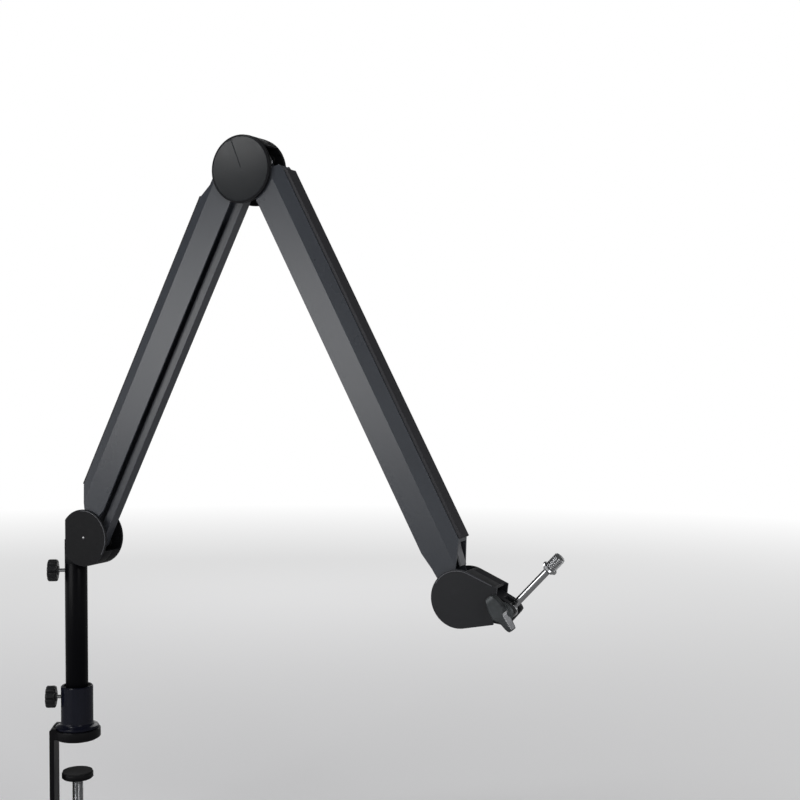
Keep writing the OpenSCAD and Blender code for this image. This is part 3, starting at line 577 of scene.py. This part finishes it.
class BoomStudio(PropertyGroup):
    """The camera, the floor and the lamps."""

    camera_place: FloatVectorProperty(
        name="Camera place", description="Where the camera stands", subtype="TRANSLATION",
        default=(0.77745, -0.925, 0.34174))
    camera_turn: bearing("Camera turn", "Turn to the left of +Y", 26.0)
    camera_dip: bearing("Camera dip", "Dip below level", 1.7)
    lens: FloatProperty(
        name="Lens", description="Focal length for a 36 mm sensor, in millimetres",
        default=58.5, min=20, max=200)
    floor_colour: tint("Floor", "Colour of the floor near the arm", (0.84, 0.84, 0.85))
    softbox_place: FloatVectorProperty(
        name="Softbox place", description="Middle of the softbox before the arm", subtype="TRANSLATION",
        default=(-0.62, -1.3, 0.39))
    softbox_power: watts("Softbox", "Power of the low softbox", 7.5)
    right_power: watts("Right lamp", "Power of the lamp at the right", 6.0)
    top_power: watts("Top lamp", "Power of the high lamp", 9.0)
    back_power: watts("Back lamp", "Power of the weak lamp behind", 4.0)
    ambient: FloatProperty(
        name="Ambient", description="Level of the surrounding light", default=0.34, min=0, max=1)
    ceiling: FloatProperty(
        name="Ceiling", description="Level that reflections find overhead", default=0.10, min=0, max=1)


def finishes():
    return bpy.context.scene.boom_finishes


def details():
    return bpy.context.scene.boom_details


def studio():
    return bpy.context.scene.boom_studio


# Finishes and lines that several groups share

SHARED = {
    "bright_plate": (plated, "bright", 0.14),
    "dark_steel": (plated, "dark_steel", 0.30),
    "blackened_steel": (blackened_sheet, "bracket", 0.42),
    "black_mould": (moulded, "shell", 0.46),
    "black_strip": (moulded, "strip", 0.45, 3400, 0.04 * MM, 0.05),
    "black_nylon": (moulded, "nylon", 0.4),
    # painted highlight: the light bead along the shells' rims
    "rubbed_edge": (moulded, "edge", 0.34, 2600, 0.02 * MM, 0.4, 0.1),
}


def shared(name):
    """A finish that is made at its first use and found again by its name."""
    maker, colour_name, *values = SHARED[name]
    return bpy.data.materials.get(name) or maker(name, getattr(finishes(), colour_name), *values)


def shell_line(node, side, body, at_left, turns, tail=(), lean=0.0):
    """A fine lighter bead, half sunk in a shell's outer face, round its end and along a straight tail: a
    painted highlight line along the rim.
    """
    low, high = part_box(node)
    radius = (high[2] - low[2]) / 2
    middle = low[0] + radius if at_left else high[0] - radius
    centre = Vector((middle, outer_face(node, side), (high[2] + low[2]) / 2))
    path = [centre + (radius - details().line_margin) * level_way(turn) for turn in turns]
    path += [path[-1] + step * MM * level_way(lean) for step in tail]
    bm = bmesh.new()
    swept(bm, path, details().line_radius)
    mesh = closed_mesh(bm, node.replace("shell", "edge_line"), 60.0)
    add_piece(mesh, body, shared("rubbed_edge"))


def add_bright(mesh, body, replaced=()):
    add_piece(mesh, body, shared("bright_plate"), replaced)


# Operators, one for each piece or group of like pieces

class BOOM_OT_clamp(Operator):
    """Dress the clamp, its foot and its pads, and cut the clamp screw's thread"""

    bl_idname = "boom.clamp"
    bl_label = "Clamp"

    def execute(self, context):
        coat = powder_coat("clamp_coat", finishes().post, 0.40, 1.0, 0.18)
        pad = rubber("pad_rubber", finishes().rubber)
        dress("clamp_frame", coat, 0.8 * MM, 3)
        dress("foot_plate", coat, 0.4 * MM)
        dress("jaw_pad", pad, 0.3 * MM)
        dress("foot_pad", pad, 0.4 * MM)
        dress("socket_screws", shared("bright_plate"))
        dress("turning_bar", shared("bright_plate"), 0.3 * MM)
        dress("bar_caps", shared("black_strip"), 0.9 * MM, 3)
        self.cut_screw()
        return {"FINISHED"}

    def cut_screw(self):
        """The screw with its head at the bottom, a long thread and a plain tip in the foot."""
        matrix = stood_on(Vector(), UP)
        low, high = span("clamp_screw", matrix)
        foot = span("foot_plate", matrix)[0].z
        radius, core, tip = high.x, 5 * MM, 4 * MM
        head = low.z + 2 * radius
        corner, overlap = 1.2 * MM, 0.4 * MM
        thread = threaded("clamp_screw_thread", matrix, head, foot - overlap / 2, core, 0.85 * MM,
                          details().clamp_pitch, steps=40, per_turn=6)
        profile = [(0.0, low.z)] + rounded_side(radius, low.z, head, corner)
        profile += [(core, head + overlap), (0.0, head + overlap)]
        knob = turned("clamp_screw_head", matrix, profile, 64)
        profile = [(0.0, foot - overlap), (tip, foot - overlap), (tip, high.z), (0.0, high.z)]
        end = turned("clamp_screw_tip", matrix, profile, 40)
        for mesh, replaced in ((thread, ("clamp_screw",)), (knob, ()), (end, ())):
            add_bright(mesh, "clamp_screw", replaced)


class BOOM_OT_post(Operator):
    """Dress the socket, its liner and the post"""

    bl_idname = "boom.post"
    bl_label = "Post and socket"

    def execute(self, context):
        enamel = powder_coat("socket_enamel", finishes().socket, 0.24, 0.5, 0.15)
        dress("mast_socket", enamel, 0.3 * MM, 3)
        dress("collar_liner", shared("black_strip"), 0.2 * MM)
        dress("mast_plug", shared("black_strip"))
        dress("mast_tube", powder_coat("post_coat", finishes().post, 0.30, 0.6, 0.06), 0.3 * MM)
        return {"FINISHED"}


class BOOM_OT_thumbscrews(Operator):
    """Make the two scalloped thumbscrew knobs and dress their studs"""

    bl_idname = "boom.thumbscrews"
    bl_label = "Thumbscrews"

    def execute(self, context):
        plastic = moulded("knob_plastic", finishes().knob, 0.32, 1800, 0.04 * MM, 0.3)
        for side in ("lower", "upper"):
            self.make_knob(side, plastic)
            dress(f"{side}_stud", shared("bright_plate"))
        return {"FINISHED"}

    def make_knob(self, side, material):
        """A knob on a narrower neck, with a rounded rim, a hollow face and a low boss in it."""
        joint = f"{side}_thumb_turn"
        matrix = stood_on(pivot(joint), direction(joint), UP)
        low, high = span(f"{side}_knob", matrix)
        radius = max(high.x, high.y) + 0.2 * MM
        neck, boss = 4.2 * MM, 2.6 * MM
        base, shoulder, top = low.z, low.z + 0.9 * MM, high.z
        bottom, crown = top - 1.3 * MM, top - 1.0 * MM
        rim, lip, flare, slope, underside = 1.5 * MM, 0.7 * MM, 0.4 * MM, 0.3 * MM, 2.4 * MM
        inner = radius - rim - 3.0 * MM
        profile = [(0.0, base), (neck, base), (neck + flare, shoulder), (radius - underside, shoulder)]
        profile += rounded_side(radius, shoulder, top, rim)
        profile += arc(inner + 0.8 * MM, top - lip, lip, 90, 180, 4)
        profile += [(inner, bottom), (boss, bottom), (boss - slope, crown), (0.0, crown)]
        depth, count = 1.5 * details().scallop_depth, details().scallops
        smooth_share, sharpness = 0.55, 1.6

        def lobed(r, angle):
            share = max(0.0, (r / radius - smooth_share) / (1 - smooth_share))
            return r - depth * share * max(0.0, math.cos(count * angle)) ** sharpness

        mesh = turned(f"{side}_knob_body", matrix, profile, 240, lobed, 50.0)
        add_piece(mesh, f"{side}_thumbscrew", material, (f"{side}_knob",))


class BOOM_OT_yoke(Operator):
    """Dress the yoke's shells, bracket, pins and spacers"""

    bl_idname = "boom.yoke"
    bl_label = "Yoke"

    def execute(self, context):
        dress("yoke_near_shell yoke_far_shell", shared("black_mould"), details().shell_radius, 3)
        dress("yoke_spigot", shared("black_mould"), 0.4 * MM)
        dress("yoke_bracket", shared("blackened_steel"), 0.2 * MM)
        dress("yoke_pivot yoke_link_pin yoke_spring_pin spigot_pin", shared("dark_steel"), 0.2 * MM)
        dress("yoke_spacers", shared("black_nylon"))
        self.screw_tip()
        for side, name in SIDES:
            shell_line(f"yoke_{name}_shell", side, "base_yoke", False, range(-34, 101, 3))
        return {"FINISHED"}

    def screw_tip(self):
        """The pivot screw's small domed tip, at the bottom of its hole in the near shell."""
        place = pivot("lower_arm_pitch")
        matrix = stood_on(Vector((place.x, outer_face("yoke_pivot", -1), place.z)), (0, -1, 0), UP)
        radius, rise, sunk = 1.15 * MM, 0.55 * MM, 0.4 * MM
        dome = [polar(1.0, turn * math.pi / 16) for turn in range(8)]
        profile = [(0.0, -sunk), (radius, -sunk)]
        profile += [(radius * spot.x, rise * spot.y) for spot in dome] + [(0.0, rise)]
        add_bright(turned("yoke_screw_tip", matrix, profile, 48), "base_yoke")


class BOOM_OT_covers(Operator):
    """Dress the two arm covers, their cable strips and the cable guide"""

    bl_idname = "boom.covers"
    bl_label = "Arm covers"

    def execute(self, context):
        coat = powder_coat("cover_coat", finishes().cover, 0.28)
        grey = moulded("guide_plastic", finishes().guide, 0.5, 2400, 0.04 * MM, 0.3, 0.1)
        dress("lower_cover upper_cover", coat, details().fold_radius, 3, 8.0)
        dress("lower_cable_strip upper_cable_strip", shared("black_strip"), 0.4 * MM, 3)
        dress("lower_spring_post upper_spring_post", shared("dark_steel"), 0.2 * MM)
        dress("cable_guide", grey, 0.2 * MM)
        return {"FINISHED"}


class BOOM_OT_links(Operator):
    """Dress the two links that keep the elbow and the head level"""

    bl_idname = "boom.links"
    bl_label = "Links"

    def execute(self, context):
        dress("lower_link upper_link", powder_coat("link_coat", finishes().link, 0.30), 0.3 * MM)
        return {"FINISHED"}


class BOOM_OT_springs(Operator):
    """Wind the pull springs inside the covers"""

    bl_idname = "boom.springs"
    bl_label = "Springs"

    def execute(self, context):
        steel = plated("spring_wire", finishes().spring, 0.26)
        self.wind("lower", "lower_arm_pitch", "elbow_turn", steel, -0.55 * MM)
        self.wind("upper", "upper_arm_pitch", "head_turn", steel, 0.75 * MM)
        return {"FINISHED"}

    def wind(self, arm, near_joint, far_joint, material, play):
        """A pair of springs along an arm: a loop round each pin and a close coil between them."""
        start = pivot(near_joint)
        matrix = stood_on(start, pivot(far_joint) - start)
        low, high = span(f"{arm}_springs", matrix)
        wire = 0.55 * MM
        coil = (high.x - low.x) / 2 - wire
        bm = bmesh.new()
        route = self.route(low.z, high.z - wire, coil, play)
        for side in (-1, 1):
            middle = Vector(((high.x + low.x) / 2, side * (high.y - coil - wire), 0))
            swept(bm, [matrix @ (middle + point) for point in route], wire)
        mesh = closed_mesh(bm, f"{arm}_spring_coils", 60.0)
        add_piece(mesh, f"{arm}_arm", material, (f"{arm}_springs",))

    def route(self, low, high, coil, play):
        """Hook, coil and hook as one path along Z from low to high.

        The first hook is long, so that its pin can shift in it; play sets its end off from the pin."""
        hook_low, hook_high = 2.85 * MM, 2.7 * MM
        shift_room, leg_low, leg_high, bare = 3 * MM, 5 * MM, 2 * MM, 18 * MM
        first, last = low + hook_low, high - hook_high
        begin, end = first + bare, last - bare
        path = []
        for spot in self.hook(hook_low, -110):
            shift = shift_room if spot.x < 0 else -play
            path.append(Vector((-spot.y, 0, first - spot.x + shift)))
        path.append(Vector((0, 0, first + hook_low + leg_low)))
        turns = details().coil_turns
        points, taper = 14 * turns, 30
        for share in evenly(0, 1, points):
            spot = polar(coil * min(1.0, share * taper, (1 - share) * taper), 2 * math.pi * turns * share)
            path.append(Vector((spot.y, spot.x, begin + (end - begin) * share)))
        path.append(Vector((0, 0, last - hook_high - leg_high)))
        path += [Vector((-spot.y, 0, last + spot.x)) for spot in self.hook(hook_high, -180)]
        return path

    def hook(self, radius, start):
        """Points round an open loop, from a start in degrees."""
        sweep, steps = 290, 13
        return [polar(radius, math.radians(angle)) for angle in evenly(start, start + sweep, steps)]


class BOOM_OT_elbow(Operator):
    """Turn the elbow's two round covers and dress what they hold"""

    bl_idname = "boom.elbow"
    bl_label = "Elbow"

    def execute(self, context):
        dress("elbow_near_cover elbow_far_cover", shared("black_mould"), details().shell_radius, 3)
        dark = moulded("cap_plastic", finishes().cap, 0.32, 3000, 0.02 * MM, 0.36, 0.2)
        for side, name in SIDES:
            node = f"elbow_{name}_cover"
            low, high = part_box(node)
            centre = Vector(((low[0] + high[0]) / 2, outer_face(node, side), (low[2] + high[2]) / 2))
            matrix = stood_on(centre, (0, side, 0), UP)
            reach = (high[0] - low[0]) / 2
            self.ring(f"elbow_{name}_ring", matrix, reach - 0.2 * MM)
            self.disc(f"elbow_{name}_disc", matrix, reach - details().cap_margin, dark)
        dress("elbow_plates", shared("blackened_steel"), 0.2 * MM)
        dress("elbow_studs elbow_link_pins elbow_spring_pin elbow_screws", shared("dark_steel"), 0.2 * MM)
        dress("elbow_spacers", shared("black_nylon"))
        return {"FINISHED"}

    def ring(self, name, matrix, outer):
        """The black seat round a disc, whose lip slopes up from its rim towards the disc."""
        inner = outer - details().cap_margin + 0.35 * MM
        lip = details().cap_height + 0.15 * MM
        slope, edge, sunk = 0.584 * MM, 0.2 * MM, 0.5 * MM
        profile = [(0.0, -sunk), (outer, -sunk), (outer, lip - slope), (inner + edge, lip),
                   (inner, lip - edge), (inner, edge), (0.0, edge)]
        add_piece(turned(name, matrix, profile, 120), "elbow", shared("black_mould"))

    def disc(self, name, matrix, radius, material):
        """A dished disc with one fine groove from near its middle to its rim."""
        half, depth, edge = details().groove_width / 2, 0.32 * MM, 0.2 * MM
        spokes, rings = 96, 26
        spacing = 2 * math.pi / spokes
        away = matrix.to_3x3().inverted() @ level_way(math.degrees(details().groove_turn))
        begin = math.atan2(away.y, away.x)
        # the five spokes at the groove draw together, by half its width, and drop into it
        offsets = [-1.9, -1.0, 0.0, 1.0, 1.9]
        depths = [0.0, 0.75, 1.0, 0.75, 0.0]
        top = details().cap_height
        shares = [(i + 1) / rings for i in range(rings)]
        levels = [(radius * share, top - details().cap_dish * (1 - share ** 2)) for share in shares]
        levels += [(radius + edge, top - edge), (radius + edge, 0.1 * MM)]
        rows = []
        for index, (r, height) in enumerate(levels):
            row = []
            for k in range(spokes):
                turn = k if k <= spokes // 2 else k - spokes
                angle, drop = spacing * turn, 0.0
                if 0 < index < rings - 1 and abs(turn) <= 2:
                    swing = min(abs(offsets[turn + 2]) * half / r, 0.95 * abs(turn) * spacing)
                    angle = math.copysign(swing, turn)
                    drop = depth * depths[turn + 2]
                row.append(matrix @ polar(r, begin + angle, height - drop))
            rows.append(row)
        add_piece(skinned(name, rows, 30.0), "elbow", material)


class BOOM_OT_head(Operator):
    """Dress the head's shells, plates, pins and screws, and the fork in its mouth"""

    bl_idname = "boom.head"
    bl_label = "Head"

    def execute(self, context):
        shell = moulded("head_plastic", finishes().head, 0.38, 2600, 0.05 * MM, 0.22, 0.35)
        dress("head_near_shell head_far_shell", shell, details().shell_radius, 3)
        dress("head_plates", shared("blackened_steel"), 0.2 * MM)
        dress("head_studs head_link_pin head_screws fork_screws clamp_bolt", shared("dark_steel"), 0.2 * MM)
        dress("head_spacers", shared("black_nylon"))
        turns, tail, top_slope = range(150, 67, -3), range(2, 23, 2), 68.4 - 90
        for side, name in SIDES:
            shell_line(f"head_{name}_shell", side, "head", True, turns, tail, top_slope)
        dress("swivel_fork", shell, 0.6 * MM, 3)
        dress("swivel_washers", shared("dark_steel"), 0.3 * MM, 3)
        return {"FINISHED"}


class BOOM_OT_rod(Operator):
    """Dress the rod, and cut the microphone thread and its knurled lock ring"""

    bl_idname = "boom.rod"
    bl_label = "Rod and thread"

    def execute(self, context):
        dress("swivel_rod", shared("bright_plate"), 0.4 * MM, 3)
        matrix = stood_on(pivot("lock_ring_turn"), direction("lock_ring_turn"))
        low, high = span("thread_fitting", matrix)
        thread = threaded("microphone_thread", matrix, low.z, high.z, THREAD_RADIUS, 0.9 * MM,
                          details().microphone_pitch, steps=64, per_turn=10)
        add_bright(thread, "mic_swivel", ("thread_fitting",))
        self.knurl_ring(matrix)
        self.barrel(matrix, low.z)
        return {"FINISHED"}

    def barrel(self, matrix, thread_start):
        """A smooth bright barrel, a hair wider than the rod, from its shoulder to the thread."""
        shoulder, straight, hair = 12.8 * MM, 4 * MM, 0.05 * MM
        foot_chamfer, top_chamfer = 0.3 * MM, 0.1 * MM
        points = points_in(matrix, "swivel_rod")
        low, high = min(p.z for p in points), max(p.z for p in points)
        radius = max(p.xy.length for p in points if p.z > high - straight) + hair
        start, end = low + shoulder, thread_start - hair
        profile = [(radius - foot_chamfer, start), (radius, start + foot_chamfer),
                   (radius, end - top_chamfer), (radius - top_chamfer, end)]
        add_bright(turned("rod_barrel", matrix, profile), "mic_swivel")

    def knurl_ring(self, matrix):
        """The lock ring with chamfered edges and fine teeth round its outside."""
        low, high = span("lock_ring", matrix)
        outer, inner = max(high.x, high.y), THREAD_RADIUS - 0.05 * MM
        edge, tooth, band = 0.35 * MM, 0.35 * MM, 0.8 * MM
        profile = [
            (inner, low.z + edge), (inner + edge, low.z), (outer - 2 * edge, low.z),
            (outer, low.z + 1.2 * edge), (outer, high.z - 1.2 * edge), (outer - 2 * edge, high.z),
            (inner + edge, high.z), (inner, high.z - edge), (inner, low.z + edge),
        ]
        count = details().knurls

        def toothed(r, angle):
            share = max(0.0, (r - outer + band) / band)
            return r - tooth * share * (0.5 + 0.5 * math.cos(count * angle))

        mesh = turned("knurled_ring", matrix, profile, count * 6, toothed, 40.0)
        add_bright(mesh, "lock_ring", ("lock_ring",))


class BOOM_OT_wing_knob(Operator):
    """Cast the wing knob that locks the swivel"""

    bl_idname = "boom.wing_knob"
    bl_label = "Wing knob"

    drawn_height = 9.4  # of the casting in its sections, in millimetres

    def execute(self, context):
        metal = cast_metal("wing_metal", finishes().wing, 0.36)
        low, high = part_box("wing_knob")
        middle = pivot("wing_turn")
        turn = math.degrees(details().wing_turn)
        matrix = stood_on(Vector((middle.x, high[1], middle.z)), (0, -1, 0), UP)
        back = matrix.inverted().to_3x3()
        along = (back @ level_way(turn)).normalized() * MM
        across = (back @ level_way(turn + 90)).normalized() * MM
        upward = UP * ((high[1] - low[1]) / self.drawn_height)

        def place(u, v, w):
            return matrix @ (along * u + across * v + upward * w)

        bm = bmesh.new()
        self.wings(bm, place)
        self.hub(bm, matrix, upward.z)
        mesh = closed_mesh(bm, "wing_knob_casting", 50.0)
        soften(add_piece(mesh, "wing_knob", metal, ("wing_knob",)), 0.5 * MM, 3, 30.0)
        self.flank(place)
        return {"FINISHED"}

    def wings(self, bm, place):
        """A flat front over both wings: the upper one a broad paddle, the lower one with a long flank."""
        upper_tip, lower_tip, count = -15.6, 14.6, 40
        stations = evenly(upper_tip, lower_tip, count)
        skin(bm, [[place(u, v, w) for v, w in self.section(u)] for u in stations])

    def flank(self, place):
        """The lighter facet along the lower wing, a hair above the casting: a painted highlight."""
        start, stop, count = 0.8, 14.0, 24
        near, far, above, below = 0.10, 0.94, 0.15, -0.5
        rows = []
        for u in evenly(start, stop, count):
            (v0, w0), (v1, w1) = self.section(u)[3:5]
            run, rise = v1 - v0, w1 - w0
            reach = math.hypot(run, rise)
            row = []
            for share, lift in ((near, above), (far, above), (far, below), (near, below)):
                out = lift / reach
                row.append(place(u, v0 + run * share - rise * out, w0 + rise * share + run * out))
            rows.append(row)
        # painted highlight: a lighter metal for the facet
        facet_highlight = cast_metal("rubbed_wing_metal", finishes().wing_highlight, 0.30)
        mesh = skinned("wing_flank", rows, 50.0)
        soften(add_piece(mesh, "wing_knob", facet_highlight), 0.2 * MM, 2, 30.0)

    def section(self, u):
        """Outline across the wings in mm at a distance along them, from the left foot to the right.

        Each table lists (distance from the middle, reach to one side). The lower wing is at u > 0."""
        left_up = [(-3.0, 7.3), (-1.0, 8.3), (1.0, 8.3), (3.6, 7.9), (8.3, 6.8), (12.5, 5.0), (15.6, 3.4)]
        left_low = [(-3.0, 8.1), (1.0, 7.9), (3.1, 5.9), (7.0, 5.4), (10.8, 5.2), (13.6, 4.6), (14.6, 3.8)]
        right_up = [(-3.0, 5.6), (3.0, 5.4), (10.7, 5.0), (14.0, 4.2), (15.6, 2.8)]
        right_low = [(-3.0, 5.2), (0.0, 4.6), (8.6, 2.0), (12.6, 1.0), (14.6, 0.2)]
        foot, low_flank, paddle, shoulder = 2.8, 3.4, 8.2, 9.1
        blend, tip_start, tip_length, tip_drop, rounding = 2.4, 12.0, 3.6, 0.10, 1.0

        def between(table, at):
            for (u0, v0), (u1, v1) in zip(table, table[1:]):
                if at <= u1:
                    return v0 + (v1 - v0) * (at - u0) / (u1 - u0)
            return table[-1][1]

        away = abs(u)
        lower = min(1.0, max(0.0, (u + blend) / (2 * blend)))
        upper = 1 - lower
        drop = 1.0 - tip_drop * max(0.0, (away - tip_start) / tip_length) ** 2
        left = between(left_low if u > 0 else left_up, away)
        right = between(right_low, away) * lower + between(right_up, away) * upper
        ridge = (0.4 - 0.12 * u) * lower + (right - 0.9) * upper
        flank = low_flank * lower + paddle * drop * upper
        return [(-left, foot), (-left, paddle * drop), (-left + rounding, shoulder * drop),
                (ridge, self.drawn_height * drop), (right, flank), (right, foot)]

    def hub(self, bm, matrix, rise):
        """The round hub behind the wings, with a shallow step."""
        profile = [(6.8, 0.0), (7.0, 0.3), (7.0, 1.6), (7.9, 2.2), (7.9, 3.6), (7.4, 4.1), (6.2, 4.1),
                   (5.6, 5.2), (4.4, 5.4)]
        skin(bm, turned_rows(matrix, [(radius * MM, height * rise) for radius, height in profile], 64))


class BOOM_OT_stage(Operator):
    """Set the floor, the surrounding light, the lamps and the camera"""

    bl_idname = "boom.stage"
    bl_label = "Stage"

    def execute(self, context):
        self.lay_floor()
        self.light_world()
        self.hang_lamps()
        self.place_camera(context.scene)
        context.scene.view_settings.view_transform = "Standard"
        return {"FINISHED"}

    def lay_floor(self):
        """A wide floor that fades to the white surroundings far away."""
        bm = bmesh.new()
        floor_radius, clearance = 40, 0.5 * MM
        bmesh.ops.create_circle(bm, cap_ends=True, segments=96, radius=floor_radius)
        mesh = bpy.data.meshes.new("floor")
        bm.to_mesh(mesh)
        bm.free()
        floor = linked(mesh)
        floor.location.z = cad_box[0].z - clearance
        mesh.materials.append(self.floor_paint())

    def floor_paint(self):
        """Pale grey by the arm and white further off to the eye, and darker to reflections."""
        paint = Paint("floor_paint")
        spot = paint.node("ShaderNodeTexCoord", {}, out="Object")
        away = paint.node("ShaderNodeVectorMath", {"operation": "LENGTH"}, spot, out="Value")
        near_edge, far_edge = 0.25, 3.0
        fade = paint.ranged(away, near_edge, far_edge)
        mirrored = paint.ray("Glossy")
        mottle = paint.noise(3)
        pale = studio().floor_colour
        tone = paint.blended(mottle, rgba(pale, 0.99), rgba(pale, 1.01))
        tone = paint.blended(mirrored * 0.75, tone, rgba(pale, 0.1))
        near = paint.node("ShaderNodeBsdfDiffuse", {}, out="BSDF", Color=tone)
        far = paint.node("ShaderNodeEmission", {}, out="Emission", Color=(1, 1, 1, 1), Strength=1.0)
        seen = paint.ray("Camera")
        mixed = paint.node("ShaderNodeMixShader", {}, fade * (seen + mirrored * 0.5), near, far,
                           out="Shader")
        return paint.node_output(mixed)

    def light_world(self):
        """White to the eye, white low down and dim overhead to reflections, and plain light."""
        world = bpy.data.worlds.new("studio")
        bpy.context.scene.world = world
        paint = Paint("studio", world)
        seen = paint.ray("Camera")
        mirrored = paint.ray("Glossy")
        through = paint.ray("Transmission")
        way = paint.node("ShaderNodeTexCoord", {}, out="Generated")
        rise = paint.node("ShaderNodeSeparateXYZ", {}, way, out="Z")
        white_below, dim_above = 0.02, 0.20
        backdrop = paint.ranged(rise, white_below, dim_above, 1.0, studio().ceiling)
        base = studio().ambient
        level = (seen + through) * (1 - base) + mirrored * (backdrop - base) + base
        light = paint.node("ShaderNodeBackground", {}, out="Background", Color=(1, 1, 1, 1), Strength=level)
        paint.node_output(light, "ShaderNodeOutputWorld")

    def hang_lamps(self):
        """A low wide softbox that the panels mirror, and weak lamps at the right, above and behind."""
        middle = Vector((0.22, 0.0, 0.33))
        low = Vector(studio().softbox_place)
        self.lamp("softbox", low, low + Vector((0, 1, 0)), 1.1, 0.42, studio().softbox_power)
        for name, place, size in (
            ("right", (1.6, -0.9, 0.9), 0.6),
            ("top", (-0.5, -0.9, 1.9), 0.45),
            ("back", (-0.6, 1.5, 0.8), 0.8),
        ):
            self.lamp(f"{name}_lamp", Vector(place), middle, size, size, getattr(studio(), f"{name}_power"))

    def lamp(self, name, place, target, width, height, power):
        data = bpy.data.lights.new(name, "AREA")
        data.shape = "RECTANGLE"
        data.size = width
        data.size_y = height
        data.energy = power
        obj = linked(data)
        obj.location = place
        obj.rotation_euler = (target - place).to_track_quat("-Z", "Y").to_euler()

    def place_camera(self, scene):
        data = bpy.data.cameras.new("camera")
        data.sensor_width = 36.0
        data.lens = studio().lens
        data.clip_start = 0.01
        data.clip_end = 100.0
        camera = linked(data)
        camera.location = studio().camera_place
        camera.rotation_euler = (math.pi / 2 - studio().camera_dip, 0.0, studio().camera_turn)
        scene.camera = camera


STEPS = (
    BOOM_OT_stage, BOOM_OT_clamp, BOOM_OT_post, BOOM_OT_thumbscrews, BOOM_OT_yoke, BOOM_OT_covers,
    BOOM_OT_links, BOOM_OT_springs, BOOM_OT_elbow, BOOM_OT_head, BOOM_OT_rod, BOOM_OT_wing_knob,
)
GROUPS = {"boom_finishes": BoomFinishes, "boom_details": BoomDetails, "boom_studio": BoomStudio}


class BOOM_PT_panel(Panel):
    """Lists the steps that dress the arm, and what can be changed first"""

    bl_idname = "BOOM_PT_panel"
    bl_label = "Boom arm"
    bl_space_type = "VIEW_3D"
    bl_region_type = "UI"
    bl_category = "Boom arm"

    def draw(self, context):
        for name, group in GROUPS.items():
            box = self.layout.box()
            for setting in group.__annotations__:
                box.prop(getattr(context.scene, name), setting)
        for step in STEPS:
            self.layout.operator(step.bl_idname)


CLASSES = tuple(GROUPS.values()) + STEPS + (BOOM_PT_panel,)


def register():
    for cls in CLASSES:
        bpy.utils.register_class(cls)
    for name, group in GROUPS.items():
        setattr(bpy.types.Scene, name, PointerProperty(type=group))


def unregister():
    for name in GROUPS:
        delattr(bpy.types.Scene, name)
    for cls in reversed(CLASSES):
        bpy.utils.unregister_class(cls)


def main():
    register()
    for step in STEPS:
        group, name = step.bl_idname.split(".")
        getattr(getattr(bpy.ops, group), name)()


if __name__ == "__main__":
    main()
